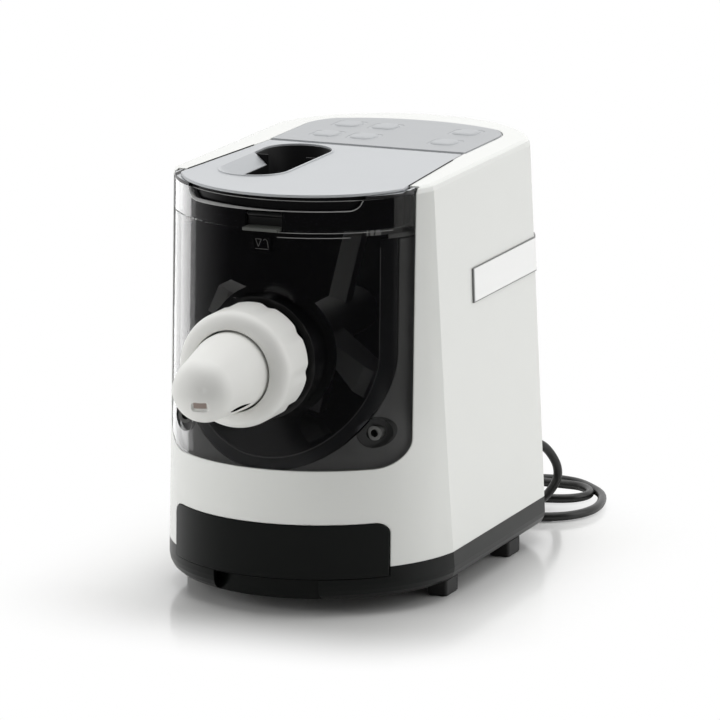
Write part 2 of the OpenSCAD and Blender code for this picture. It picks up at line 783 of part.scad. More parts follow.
// Turns that bring a tooth of one gear to a gap of the next, along the line of centres.
out_turn = idler_a;
idler_pinion_turn = idler_a + 180 + 180 / pinion_teeth;
idler_shaft_r = 4;
module output_gear() {
  color("goldenrod") difference() {
    translate([0, layer_1 + gear_t, axis_z]) gear(wheel_teeth, gear_t, shaft_r + 0.01, out_turn);
    for (k = [0:4]) translate([0, 0, axis_z]) rotate([0, 72 * k, 0]) translate([0, 0, -axis_z])
      rod(6, layer_1 - 1, layer_1 + gear_t + 1, 0, axis_z + 19, 48);
  }
}
module output_shaft() {
  color("silver") union() {
    rod(shaft_r, hub_back - 1, gb_back + gb_wall + 3);
    rod(hex_r, hex_front, hub_back - 0.5, 0, axis_z, 6);
  }
}
motor_dir = atan2(motor_z - idler_z, -idler_x);
idler_wheel_turn = motor_dir;
module idler_gear() {
  color("goldenrod") union() {
    translate([idler_x, layer_2 + gear_t, idler_z]) gear(wheel_teeth, gear_t, idler_shaft_r + pin_gap, idler_wheel_turn);
    translate([idler_x, layer_2, idler_z])
      gear(pinion_teeth, layer_2 - layer_1 + 0.5, idler_shaft_r + pin_gap, idler_pinion_turn);
  }
}
module idler_shaft() {
  color("silver") rod(idler_shaft_r, gb_y + 0.2, gb_back + gb_wall - 0.2, idler_x, idler_z, 64);
}

rotor_r = 3;
motor_y = gb_back + gb_wall + 0.3;
motor_boss_r = 9;
motor_pinion_turn = motor_dir + 180 + 180 / pinion_teeth;
module motor_pinion() {
  color("silver") translate([0, layer_2 + gear_t + 1, motor_z])
    gear(pinion_teeth, gear_t + 2, rotor_r + 0.01, motor_pinion_turn);
}
module rotor_shaft() {
  color("silver") rod(rotor_r, layer_2 - 1.5, motor_y + motor_len + 16, 0, motor_z, 64);
}
module motor_can() {
  color("silver") difference() {
    union() {
      rod(motor_r, motor_y, motor_y + motor_len, 0, motor_z, 128);
      rod(motor_boss_r, motor_y - gb_wall, motor_y + 1, 0, motor_z);
      rod(motor_boss_r, motor_y + motor_len - 1, motor_y + motor_len + 4, 0, motor_z);
    }
    rod(rotor_r + pin_gap, motor_y - 9, motor_y + motor_len + 9, 0, motor_z, 64);
    for (k = [0:7]) translate([0, 0, motor_z]) rotate([0, 45 * k, 0]) translate([0, 0, -motor_z])
      rod(4.5, motor_y + motor_len - 3, motor_y + motor_len + 1, 0, motor_z + 25, 32);
  }
}
fan_y = motor_y + motor_len + 5;
fan_blades = 8;
module cooling_fan() {
  color("#303030") difference() {
    union() {
      rod(9, fan_y, fan_y + 9, 0, motor_z);
      rod(motor_r - 4, fan_y, fan_y + 1.6, 0, motor_z);
      for (k = [0:fan_blades - 1]) translate([0, 0, motor_z]) rotate([0, 360 / fan_blades * k, 0])
        translate([6, fan_y, -0.8]) cube([motor_r - 11, 9, 1.6]);
    }
    rod(rotor_r + 0.01, fan_y - 1, fan_y + 12, 0, motor_z, 64);
  }
}

module power_board() {
  color("darkgreen") union() {
    translate([-power_x, seam_y + 20, foot_h + 14]) cube([power_x + 36, 80, 1.6]);
    for (p = [[14 - power_x, 30, 22], [44 - power_x, 34, 16], [-12, 40, 12]])
      translate([p[0], seam_y + p[1], foot_h + 15.5]) cube([18, 18, p[2]]);
    for (x = [8 - power_x, 28], y = [26, 90]) translate([x, seam_y + y, foot_h + 3.05])
      cylinder(r = 3, h = 11, $fn = 32);
  }
}
power_x = body_w / 2 - 20;

// ---- lid ----

hopper_y = seam_y - 10.5 - hopper_len / 2;
hopper_low = split_z;
hopper_end = hopper_len / 2 - hopper_w / 2;
// Slot-shaped cone: top and bottom radius, from z0 up to z1.
module slot_cone(r0, r1, z0, z1) {
  translate([-hopper_x, hopper_y, 0]) union() {
    for (s = [-1, 1]) translate([0, s * hopper_end, z0]) cylinder(r1 = r0, r2 = r1, h = z1 - z0, $fn = 96);
    rotate([90, 0, 0]) translate([0, 0, -hopper_end]) linear_extrude(2 * hopper_end)
      polygon([[-r0, z0], [r0, z0], [r1, z1], [-r1, z1]]);
  }
}
hopper_r = hopper_w / 2;
throat_r = hopper_r - 10;
plate_t = 1.6;
dish_z = body_h - 7.5;
dish_y = hopper_y + 18;
dish_wall = 1.6;
// Keeps what lies in front of the dish's end, moved by d.
module before_dish(d = 0) {
  intersection() {
    children();
    translate([-body_w, dish_y + d - body_len, 0]) cube([2 * body_w, body_len, 2 * body_h]);
  }
}
module behind_dish(d = 0) {
  intersection() {
    children();
    translate([-body_w, dish_y + d, 0]) cube([2 * body_w, body_len, 2 * body_h]);
  }
}
module lid_plate() {
  color("#b9bcc0") difference() {
    union() {
      intersection() {
        union() {
          translate([0, 0, body_h - plate_t]) linear_extrude(plate_t - 0.5) lid_plan(0);
          translate([0, 0, body_h - 0.6]) linear_extrude(0.6) lid_plan(0.5);
        }
        translate([-body_w, lid_y - 1, 0]) cube([2 * body_w, hinge_y - lid_y + 1, body_h + 1]);
      }
      // rounded rear edge that turns on the pins
      translate([-lid_half_w + 0.6, hinge_y, hinge_z]) rotate([0, 90, 0])
        cylinder(r = hinge_r, h = 2 * lid_half_w - 1.2);
      before_dish() slot_cone(throat_r + 0.5 + dish_wall, hopper_r + dish_wall, dish_z, body_h - 0.8);
      slot_cone(hopper_r + 1.4, hopper_r + 1.2, body_h - 0.5, body_h + 0.8);
    }
    // dish at the front of the hopper, plain cut for the chute behind it
    before_dish(0.01) slot_cone(throat_r + 0.5, hopper_r, dish_z - 0.01, body_h + 0.85);
    behind_dish() slot_cone(hopper_r, hopper_r, dish_z - 1, body_h + 1);
    // pins and their clearance
    translate([-body_w / 2, hinge_y, hinge_z]) rotate([0, 90, 0])
      cylinder(r = pin_r + pin_gap, h = body_w, $fn = 48);
  }
}

// Chute below the dish, with a wide mouth behind it.
module hopper_chute() {
  color("#141414") difference() {
    union() {
      slot_cone(throat_r + 2, throat_r + 2, hopper_low, dish_z - 0.1);
      behind_dish(0.1) slot_cone(throat_r + 2, hopper_r - 0.1, hopper_low, body_h - 0.5);
    }
    slot_cone(throat_r, throat_r, hopper_low - 1, body_h + 1);
    behind_dish(1.7) slot_cone(throat_r, hopper_r - 1.3, hopper_low + 2, body_h - 0.49);
  }
}

frame_i = 1.2;
frame_top = body_h - plate_t - 0.1;
module lid_frame() {
  color("#202022") difference() {
    intersection() {
      translate([0, 0, split_z - 0.4]) linear_extrude(frame_top - split_z + 0.4) intersection() {
        lid_plan(frame_i);
        translate([-body_w, lid_y]) square([2 * body_w, hinge_y - 9 - lid_y]);
      }
      form([[split_z - 1, 3.3], [body_h, 3.3]]);
    }
    intersection() {
      translate([0, 0, split_z - 1]) linear_extrude(frame_top - 2.6 - split_z + 1) intersection() {
        lid_plan(frame_i + 2.5);
        translate([-body_w, lid_y]) square([2 * body_w, hinge_y - 11.5 - lid_y]);
      }
      form([[split_z - 2, 6], [body_h, 6]]);
    }
    slot_cone(throat_r + 2.3, hopper_r + 2.3, hopper_low - 0.5, lid_z + 0.5);
    slot_cone(hopper_r + 2.3, hopper_r + 2.3, lid_z, body_h);
    // room behind the latch
    translate([-latch_w / 2 - 0.6, y_front - 5, split_z - 2]) cube([latch_w + 1.2, 19, 16]);
    translate([-body_w / 2, latch_y, latch_pin_z]) rotate([0, 90, 0]) cylinder(r = 1.01, h = body_w, $fn = 48);
  }
}
pin_r = 1.3;
pin_len = 17;
module hinge_pins() {
  color("silver") for (s = [-1, 1]) translate([s * (lug_x + lug_w / 2 - pin_len / 2) - pin_len / 2, hinge_y, hinge_z])
    rotate([0, 90, 0]) cylinder(r = pin_r, h = pin_len, $fn = 48);
}
// Blocks under the rim that hold the hinge pins.
module hinge_lugs() {
  color("whitesmoke") for (s = [-1, 1]) difference() {
    translate([s * lug_x - lug_w / 2, hinge_y - lug_r, body_h - 9.9]) cube([lug_w, 2 * lug_r, 8.6]);
    translate([-body_w / 2, hinge_y, hinge_z]) rotate([0, 90, 0]) cylinder(r = pin_r + 0.01, h = body_w, $fn = 48);
  }
}

latch_w = 26;
module lid_skirt() {
  color("black", 0.5) difference() {
    intersection() {
      skin(0, 3, split_z, lid_z - 0.4);
      front_slab(window_w, split_z - 40, body_h, 5, y_front - 10, front_cy - 41);
    }
    // dip under the plate's front edge
    front_slab(124, split_z + 13.4, body_h + 20, 8, y_front - 10, front_cy);
    // latch recess
    translate([-latch_w / 2 - 0.3, y_front - 5, split_z - 1]) cube([latch_w + 0.6, 30, 13.5]);
  }
}

module lid_seal() {
  color("dimgray") intersection() {
    translate([0, 0, deck_z + 0.1]) linear_extrude(split_z - deck_z - 0.55) difference() {
      lid_plan(frame_i + 0.1);
      lid_plan(frame_i + 2.4);
    }
    form([[deck_z - 1, 3.4], [body_h, 3.4]]);
    translate([-body_w, lid_y + 30, 0]) cube([2 * body_w, hinge_y - 9.1 - lid_y - 30, body_h]);
  }
}

latch_y = front_y(split_z) + 6;
latch_pin_z = split_z + 9.5;
module lid_latch() {
  color("lightgray") difference() {
    union() {
      translate([-latch_w / 2 + 0.3, latch_y - 1, split_z + 0.2]) cube([latch_w - 0.6, 2, 9.3]);
      translate([-latch_w / 2 + 0.3, latch_y - 11, split_z - 0.2]) cube([latch_w - 0.6, 12, 2]);
      translate([-latch_w / 2 + 0.3, latch_y, latch_pin_z]) rotate([0, 90, 0])
        cylinder(r = 2.2, h = latch_w - 0.6, $fn = 48);
    }
    translate([-latch_w, latch_y, latch_pin_z]) rotate([0, 90, 0])
      cylinder(r = 1 + pin_gap, h = 2 * latch_w, $fn = 48);
  }
}
module latch_pin() {
  color("silver") translate([-latch_w / 2 - 2.2, latch_y, latch_pin_z]) rotate([0, 90, 0])
    cylinder(r = 1, h = latch_w + 4.4, $fn = 48);
}

// ---- control panel ----

key_l = 22;
key_high = body_h + 1.6;
module control_panel() {
  color("#a9acb0") difference() {
    union() {
      translate([0, 0, lid_z]) linear_extrude(body_h - lid_z - 0.4) panel_plan(0);
      translate([0, 0, body_h - 0.5]) linear_extrude(0.9) panel_plan(0.8);
    }
    for (r = key_row_y, x = key_x) translate([x, r, lid_z - 1]) linear_extrude(8)
      round_rect(key_w + 2 * run_gap, key_l + 2 * run_gap, 4.4);
  }
}
module key(x, y) {
  color("#a9acb0") translate([x, y, 0]) union() {
    translate([0, 0, lid_z - 1.5]) linear_extrude(key_high - lid_z + 0.7) round_rect(key_w, key_l, 4);
    translate([0, 0, key_high - 1.2]) linear_extrude(1.2) round_rect(key_w - 1.8, key_l - 1.8, 3.6);
    translate([0, 0, board_z + 5.4]) cylinder(r = 2.4, h = lid_z - board_z - 5.5, $fn = 48);
    translate([0, 0, lid_z - 3]) linear_extrude(1.6) round_rect(key_w + 2.4, key_l + 2.4, 4);
  }
}
module key_rear_left() { key(key_x[0], key_row_y[0]); }
module key_rear_middle() { key(key_x[1], key_row_y[0]); }
module key_rear_right() { key(key_x[2], key_row_y[0]); }
module key_front_left() { key(key_x[0], key_row_y[1]); }
module key_front_middle() { key(key_x[1], key_row_y[1]); }
module key_front_right() { key(key_x[2], key_row_y[1]); }
board_z = lid_z - 16;
board_x = panel_half_w - 9.5;
module key_switches() {
  color("silver") for (r = key_row_y, x = key_x) translate([x, r, board_z + 1.6]) difference() {
    union() {
      translate([-3, -3, 0]) cube([6, 6, 2.2]);
      cylinder(r = 1.8, h = 2.6, $fn = 32);
    }
  }
}
module control_board() {
  color("darkgreen") union() {
    translate([-board_x, panel_y + 10, board_z]) cube([2 * board_x, panel_len - 28, 1.6]);
    for (x = [3 - board_x, board_x - 3], y = [14, panel_len - 32]) translate([x, panel_y + y, board_z + 1.5])
      cylinder(r = 3, h = lid_z - board_z - 1.6, $fn = 32);
  }
}
module lid_switch() {
  color("#202020") union() {
    translate([-8, seam_y + 2.6, board_z - 18]) cube([16, 8, 12]);
    translate([-2, seam_y + 4, board_z - 6.2]) cube([4, 4, 3]);
  }
}

// ---- mains lead ----

cord_r = 3.2;
gland_r = 7;
gland_x = 60;
gland_z = 54;
gland_y = rear_y_at(gland_z, gland_x);
gland_out = y_rear - 10;
module cord_gland() {
  color("#101010") union() {
    rod(gland_r, gland_y - 8, gland_y + 3.5, gland_x, gland_z, 48);
    translate([gland_x, gland_out - 0.05, gland_z]) rotate([90, 0, 0]) translate([0, 0, 0])
      cylinder(r1 = cord_r + 0.6, r2 = gland_r - 1, h = gland_out - gland_y, $fn = 48);
  }
}

// Route of the lead: out of the gland, down to the floor, two loose loops and on to the coil.
route = [[60, 213, 54], [61, 223, 54], [63.5, 232.5, 51.5], [68, 241.5, 46.5], [72, 247.5, 39],
         [75, 251, 30], [75, 251, 21], [71, 246, 12], [65.5, 239.5, 6], [60, 232, 3.8],
         [57.5, 223, 3.5], [60, 214, 3.5], [67, 208, 3.5], [77, 206.5, 3.5], [88, 210, 3.5],
         [97.5, 218, 3.5], [104, 230, 3.5], [106.5, 246, 3.5], [103.5, 266, 3.5], [95.5, 286, 3.5],
         [81, 303, 3.5], [67, 314, 3.5], [50, 317.5, 3.5], [33, 313, 3.5], [20, 302, 3.5],
         [14, 286, 3.5], [19, 270, 3.5], [32, 260.5, 3.5], [50, 258.5, 3.5], [67, 260.5, 3.5],
         [81, 267, 3.5], [87.5, 279, 3.5], [84.5, 292.5, 3.5], [73, 303, 3.5], [56, 305, 3.5],
         [34, 299.5, 5.5], [14, 292.5, 10.2], [-1, 289.5, 8], [-15, 289, 4.5], [-28, 289, 3.5]];
coil_mid = 36;
coil_x = -30;
coil_turns = 3;
coil_h = 2 * cord_r * (coil_turns + 0.6);
coil_y = 289 + coil_mid + 2.1 * cord_r + 0.05;

function vunit(v) = v / norm(v);
function mix3(a, b, t) = a * (1 - t) + b * t;
// Smooth curve through the route's points.
function curve_at(p, k, t) =
  let (n = len(p) - 1,
       a = p[max(k - 1, 0)], b = p[k], c = p[min(k + 1, n)], d = p[min(k + 2, n)])
  0.5 * (2 * b + (c - a) * t + (2 * a - 5 * b + 4 * c - d) * t * t
         + (3 * b - a - 3 * c + d) * t * t * t);
cord_pts = concat([for (k = [0:len(route) - 2], s = [0, 0.5]) curve_at(route, k, s)],
                  [route[len(route) - 1]]);
cord_sides = 8;
function tangent(p, k) = vunit(p[min(k + 1, len(p) - 1)] - p[max(k - 1, 0)]);
function side_of(t) = vunit(cross(t, abs(t[2]) > 0.9 ? [1, 0, 0] : [0, 0, 1]));
module swept_tube(p, r, sides) {
  n = len(p);
  rings = [for (k = [0:n - 1])
    let (t = k == 0 ? [0, 1, 0] : tangent(p, k), u = side_of(t), v = cross(u, t))
    for (q = [0:sides - 1]) p[k] + r * cos(360 * q / sides) * u + r * sin(360 * q / sides) * v];
  faces = concat(
    [for (k = [0:n - 2], q = [0:sides - 1])
      [k * sides + q, (k + 1) * sides + q, (k + 1) * sides + (q + 1) % sides, k * sides + (q + 1) % sides]],
    [[for (q = [0:sides - 1]) q]],
    [[for (q = [sides - 1:-1:0]) (n - 1) * sides + q]]);
  polyhedron(points = rings, faces = faces, convexity = 10);
}
module cord() { color("#101010") swept_tube(cord_pts, cord_r, cord_sides); }
module cord_coil() {
  color("#101010") translate([coil_x, coil_y, 0.1]) rotate_extrude($fn = 72)
    translate([coil_mid - cord_r * 1.05, 0]) square([cord_r * 2.1, coil_h]);
}
plug_w = 34;
plug_h = 14;
plug_l = 36;
plug_x = coil_x - 54;
plug_y = 289;
tail_drop = coil_h - cord_r - plug_h / 2;
// Flat two-pin plug on the end of the lead that leaves the coil's top turn.
module plug() {
  color("#101010") translate([plug_x, plug_y, 0.1]) union() {
    rotate([0, -90, 0]) linear_extrude(plug_l) union() {
      translate([0, 5 - plug_w / 2]) square([plug_h, plug_w - 10]);
      for (s = [-1, 1]) translate([plug_h / 2, s * (plug_w - plug_h) / 2]) circle(plug_h / 2);
    }
    translate([-2, 0, plug_h / 2]) rotate([0, 90 - atan(tail_drop / 50), 0]) {
      cylinder(r1 = 6, r2 = cord_r + 0.5, h = 24, $fn = 48);
      cylinder(r = cord_r, h = 53, $fn = 48);
    }
    for (s = [-1, 1]) translate([1 - plug_l, s * 9.5, plug_h / 2]) rotate([0, -90, 0])
      cylinder(r = 2.2, h = 20, $fn = 32);
  }
}

housing_shell();
base_tray();
feet();
foot_screws();
storage_drawer();
drawer_front();
drawer_bay();
rear_band();
chamber_surround();
front_bezel();
locating_studs();
front_panel();
chamber_gasket();
mixing_chamber();
shaft_seal();
mixing_paddle();
auger_screw();
extruder_head();
shaping_die();
die_seal();
locking_ring();
nozzle_hood();
lid_plate();
hopper_chute();
lid_frame();
lid_skirt();
lid_seal();
lid_latch();
latch_pin();
hinge_pins();
hinge_lugs();
control_panel();
key_rear_left();
key_rear_middle();
key_rear_right();
key_front_left();
key_front_middle();
key_front_right();
key_switches();
control_board();
lid_switch();
bulkhead();
gearbox_case();
gearbox_cover();
gearbox_screws();
output_gear();
output_shaft();
idler_gear();
idler_shaft();
motor_pinion();
motor_can();
rotor_shaft();
cooling_fan();
power_board();
cord_gland();
cord();
cord_coil();
plug();
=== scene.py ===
import math

import bmesh
import bpy
from bpy.props import FloatProperty, FloatVectorProperty, PointerProperty
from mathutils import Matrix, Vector


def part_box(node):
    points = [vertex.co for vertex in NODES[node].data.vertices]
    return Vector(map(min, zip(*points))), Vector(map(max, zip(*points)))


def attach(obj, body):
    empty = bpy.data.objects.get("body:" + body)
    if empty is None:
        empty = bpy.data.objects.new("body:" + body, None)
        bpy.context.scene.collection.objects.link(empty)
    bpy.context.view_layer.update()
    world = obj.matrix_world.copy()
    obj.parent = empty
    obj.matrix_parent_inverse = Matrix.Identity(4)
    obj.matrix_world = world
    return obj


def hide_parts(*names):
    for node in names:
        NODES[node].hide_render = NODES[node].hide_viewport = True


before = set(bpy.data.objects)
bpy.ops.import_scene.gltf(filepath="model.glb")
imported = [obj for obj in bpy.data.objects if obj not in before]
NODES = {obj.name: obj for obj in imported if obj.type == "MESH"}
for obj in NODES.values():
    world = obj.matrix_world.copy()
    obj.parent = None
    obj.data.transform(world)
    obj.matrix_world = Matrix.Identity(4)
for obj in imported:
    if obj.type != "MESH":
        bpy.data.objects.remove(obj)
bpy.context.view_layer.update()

bl_info = {
    "name": "Pasta Maker Looks",
    "version": (1, 0, 0),
    "blender": (4, 5, 0),
    "location": "3D View > Sidebar > Pasta Maker",
    "description": "Finishes, mains lead, fittings, camera and studio for a countertop pasta maker",
    "category": "Object",
}

MM = 0.001


# ---- shader maths ----

class Wire:
    """A shader socket that can be used in plain sums."""

    def __init__(self, finish, socket):
        self.finish, self.socket = finish, socket

    def _sum(self, operation, first, second=None):
        return self.finish.node("ShaderNodeMath", {"operation": operation}, first, second)

    def __add__(self, other):
        return self._sum("ADD", self, other)

    def __sub__(self, other):
        return self._sum("SUBTRACT", self, other)

    def __rsub__(self, other):
        return self._sum("SUBTRACT", other, self)

    def __mul__(self, other):
        return self._sum("MULTIPLY", self, other)

    def __pow__(self, other):
        return self._sum("POWER", self, other)

    def __gt__(self, other):
        return self._sum("GREATER_THAN", self, other)

    def __lt__(self, other):
        return self._sum("LESS_THAN", self, other)

    __radd__, __rmul__ = __add__, __mul__

    def sine(self):
        return self._sum("SINE", self)

    def size(self):
        """Without its sign."""
        return self._sum("ABSOLUTE", self)

    def at_least(self, low):
        return self._sum("MAXIMUM", self, low)

    def held(self):
        """Kept between 0 and 1."""
        return self.finish.node("ShaderNodeClamp", {}, self)

    def eased(self, low, high, first=0.0, last=1.0):
        """Goes smoothly from first to last while the wire goes from low to high."""
        return self.finish.node("ShaderNodeMapRange", {"interpolation_type": "SMOOTHSTEP"},
                                self, low, high, first, last)

    def along(self, way):
        """The share of a vector that points that way."""
        return self.finish.node("ShaderNodeVectorMath", {"operation": "DOT_PRODUCT"},
                                self, tuple(way), out=1)


class NodeSheet:
    """A node tree that is filled by node()."""

    def __init__(self, tree):
        self.tree = tree
        self.tree.nodes.clear()

    def put(self, socket, value):
        if isinstance(value, Wire):
            self.tree.links.new(value.socket, socket)
        elif value is not None:
            if socket.type == "RGBA" and len(value) == 3:
                value = (*value, 1.0)
            socket.default_value = value

    def node(self, kind, settings=None, *values, out=0, **named):
        """Any node: its settings first, then its sockets by place or by name."""
        made = self.tree.nodes.new(kind)
        for key, value in (settings or {}).items():
            setattr(made, key, value)
        for socket, value in zip(made.inputs, values):
            self.put(socket, value)
        for key, value in named.items():
            self.put(made.inputs[key.replace("_", " ")], value)
        return Wire(self, made.outputs[out]) if made.outputs else None


class Finish(NodeSheet):
    """One material. Its shader's plain numbers are set on its own sockets; the rest comes as wires."""

    def __init__(self, name, **plain):
        self.material = bpy.data.materials.new(name)
        self.material.use_nodes = True
        super().__init__(self.material.node_tree)
        self.output = self.tree.nodes.new("ShaderNodeOutputMaterial")
        self.shader = self.tree.nodes.new("ShaderNodeBsdfPrincipled")
        self.tree.links.new(self.shader.outputs[0], self.output.inputs[0])
        for key, value in plain.items():
            self.put(self.shader.inputs[key.replace("_", " ")], value)
        self._place = None

    def place(self):
        """Object coordinates."""
        if self._place is None:
            self._place = self.node("ShaderNodeTexCoord", {}, out=3)
        return self._place

    def axes(self):
        """The three object coordinates, one wire each."""
        split = self.node("ShaderNodeSeparateXYZ", {}, self.place())
        return [Wire(self, out) for out in split.socket.node.outputs]

    def noise(self, size, detail=2.0, stretch=(1, 1, 1), rough=0.5):
        """Noise with features of that size in metres, from about 0 to 1."""
        vector = self.place()
        if stretch != (1, 1, 1):
            vector = self.node("ShaderNodeMapping", {}, Vector=vector, Scale=stretch)
        return self.node("ShaderNodeTexNoise", {}, Vector=vector, Scale=1.0 / size,
                         Detail=detail, Roughness=rough)

    def mix(self, share, first, second):
        """Two colours, mixed."""
        made = self.tree.nodes.new("ShaderNodeMix")
        made.data_type = "RGBA"
        self.put(made.inputs[0], share)
        self.put(made.inputs[6], first)
        self.put(made.inputs[7], second)
        return Wire(self, made.outputs[2])

    def bump(self, height, depth, normal):
        """A relief of that depth in metres on the surface."""
        return self.node("ShaderNodeBump", {}, Strength=1.0, Distance=depth, Height=height,
                         Normal=normal)

    def soft_edges(self, radius):
        """Rounded edges of that radius in metres."""
        return self.node("ShaderNodeBevel", {"samples": 6}, Radius=radius)

    def set(self, **wires):
        for key, value in wires.items():
            self.put(self.shader.inputs[key.replace("_", " ")], value)
        return self

    def paint(self, share, colour):
        """Another colour over the one that is there, where share is 1."""
        there = Wire(self, self.shader.inputs["Base Color"].links[0].from_socket)
        return self.set(Base_Color=self.mix(share, there, colour))


def moulded(name, colour, rough, grain=0.0006, depth=0.00001, tone=0.03, edge=0.0004, smudge=0.05,
            **plain):
    """Moulded plastic: a fine grain, a slow drift of tone, handling marks in the gloss and soft edges."""
    f = Finish(name, **plain)
    drift = f.noise(0.05, 3.0)
    shade = tuple(c * (1 - tone) for c in colour)
    handled = f.noise(0.022, 4.0, rough=0.6)
    normal = f.bump(f.noise(grain, 3.0), depth, f.soft_edges(edge))
    return f.set(Base_Color=f.mix(drift.held(), colour, shade), Normal=normal,
                 Roughness=(handled - 0.5) * smudge + rough)


def cast_metal(name, colour, rough, stretch=(1, 1, 1), grain=0.0008, depth=0.000008, **plain):
    """Machined or drawn metal: fine lines one way, faint oily drift."""
    f = Finish(name, Metallic=1.0, **plain)
    lines = f.noise(grain, 2.0, stretch=stretch)
    drift = f.noise(0.012, 3.0)
    return f.set(Base_Color=f.mix(drift.held(), colour, tuple(c * 0.86 for c in colour)),
                 Roughness=(lines - 0.5) * 0.18 + (drift - 0.5) * 0.08 + rough,
                 Normal=f.bump(lines, depth, f.soft_edges(0.0003)))


def hood_white_with_painted_mark_shade(name, colour):
    """The hood's satin white, with painted shade down in the finger mark on its tip: a darker brownish
    tone standing in for the shadow in the recess.
    """
    f = moulded(name, colour, 0.42, grain=0.0007, depth=0.000012, tone=0.025, edge=0.0006)
    spot = Vector((0, TIP_Y, TIP_Z)) * MM
    out = f.node("ShaderNodeVectorMath", {"operation": "SUBTRACT"}, f.place(), tuple(spot))
    across, up, away = (out.along(axis) for axis in tip_frame(*MARK_WAY))
    wide = across.size().eased(0.0052, 0.0038)
    high = (up - 0.0004).size().eased(0.0029, 0.0016)
    # Painted shade: the recess is coloured darker where its walls shade it.
    return f.paint(wide * high * (away > 0.0), (0.30, 0.235, 0.205))


def latch_with_painted_lit_shelf(name):
    """Black latch whose finger shelf along its lower edge is painted satin grey: painted light, the shelf
    is lighter because it catches the light from above.
    """
    f = moulded(name, (0.006, 0.006, 0.006), 0.3, edge=0.0005)
    _, _, z = f.axes()
    # Painted light: the lit shelf is coloured lighter than the black faces above it.
    return f.paint(z < (SPLIT_Z + 1.9) * MM, (0.11, 0.115, 0.105))


def capped_corner(name, silver):
    """Gloss black corner with the plate's silver on its top."""
    f = moulded(name, (0.012, 0.012, 0.013), 0.22, grain=0.003, depth=0.000006, tone=0.2)
    up = f.node("ShaderNodeSeparateXYZ", {}, f.node("ShaderNodeTexCoord", out=1), out=2)
    return f.paint(up > 0.8, silver)


def smoked(name, density, rim):
    """Smoked clear plastic, greyer in a band along its two upright ends: painted light, standing in for
    the lit chamber sides seen through the ends.
    """
    f = moulded(name, (0.0012, 0.0012, 0.002), 0.08, grain=0.006, depth=0.000005, tone=0.1,
                edge=0.0006, smudge=0.03, Alpha=density, Specular_IOR_Level=0.4)
    x, _, _ = f.axes()
    # Painted light: greyer at the upright ends, for the lit chamber sides seen through them.
    return f.paint(x.size() > 0.0785, rim)


def bezel_with_painted_pocket_shade(name):
    """Satin grey bezel with painted shade: black in the round pockets behind the two studs, where shade
    falls.
    """
    f = moulded(name, (0.5, 0.5, 0.49), 0.4, edge=0.0006)
    x, _, z = f.axes()
    out, up = x.size() - STUD_X * MM, z - STUD_Z * MM
    # Painted shade: the round pockets are coloured black.
    return f.paint((out * out + up * up) < (POCKET_R * MM) ** 2, (0.004, 0.004, 0.004))


class Recipe(NodeSheet):
    """A Geometry Nodes tree with named sizes. It is run on a mesh of points and leaves a plain mesh."""

    def __init__(self, name, **sizes):
        self.name, self.sizes = name, sizes
        super().__init__(bpy.data.node_groups.new(name, "GeometryNodeTree"))
        face = self.tree.interface
        face.new_socket("Geometry", in_out="OUTPUT", socket_type="NodeSocketGeometry")
        face.new_socket("Points", in_out="INPUT", socket_type="NodeSocketGeometry")
        face.new_socket("Finish", in_out="INPUT", socket_type="NodeSocketMaterial")
        for key, value in sizes.items():
            kind = "NodeSocketInt" if isinstance(value, int) else "NodeSocketFloat"
            face.new_socket(key, in_out="INPUT", socket_type=kind)
        self.given = self.tree.nodes.new("NodeGroupInput")

    def size(self, key):
        return Wire(self, self.given.outputs[key])

    def grow(self, shape, points, finish, slot, edges=(), smooth=40):
        """Runs the tree on those points and gives the finished piece, which rides on the housing."""
        shape = self.node("GeometryNodeRealizeInstances", {}, shape)
        shape = self.node("GeometryNodeSetMaterial", {}, shape, Material=self.size("Finish"))
        self.put(self.tree.nodes.new("NodeGroupOutput").inputs[0], shape)
        seed = bpy.data.meshes.new(self.name + "_points")
        seed.from_pydata([tuple(p) for p in points], list(edges), [])
        holder = bpy.data.objects.new(self.name + "_points", seed)
        bpy.context.scene.collection.objects.link(holder)
        modifier = holder.modifiers.new("shape", "NODES")
        modifier.node_group = self.tree
        values = dict(self.sizes, Finish=FINISHES[finish].material)
        for item in self.tree.interface.items_tree:
            if item.in_out == "INPUT" and item.name in values:
                modifier[item.identifier] = values[item.name]
        ready = holder.evaluated_get(bpy.context.evaluated_depsgraph_get())
        mesh = bpy.data.meshes.new_from_object(ready)
        bpy.data.objects.remove(holder)
        mesh.name = self.name
        bm = bmesh.new()
        bm.from_mesh(mesh)
        bmesh.ops.remove_doubles(bm, verts=bm.verts, dist=1e-6)
        bmesh.ops.recalc_face_normals(bm, faces=bm.faces)
        bm.to_mesh(mesh)
        bm.free()
        obj = bpy.data.objects.new(self.name, mesh)
        bpy.context.scene.collection.objects.link(obj)
        mesh.shade_smooth()
        mesh.set_sharp_from_angle(angle=math.radians(smooth))
        dress(obj, FINISHES[finish])
        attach(obj, "housing")
        return obj


FINISHES = {}


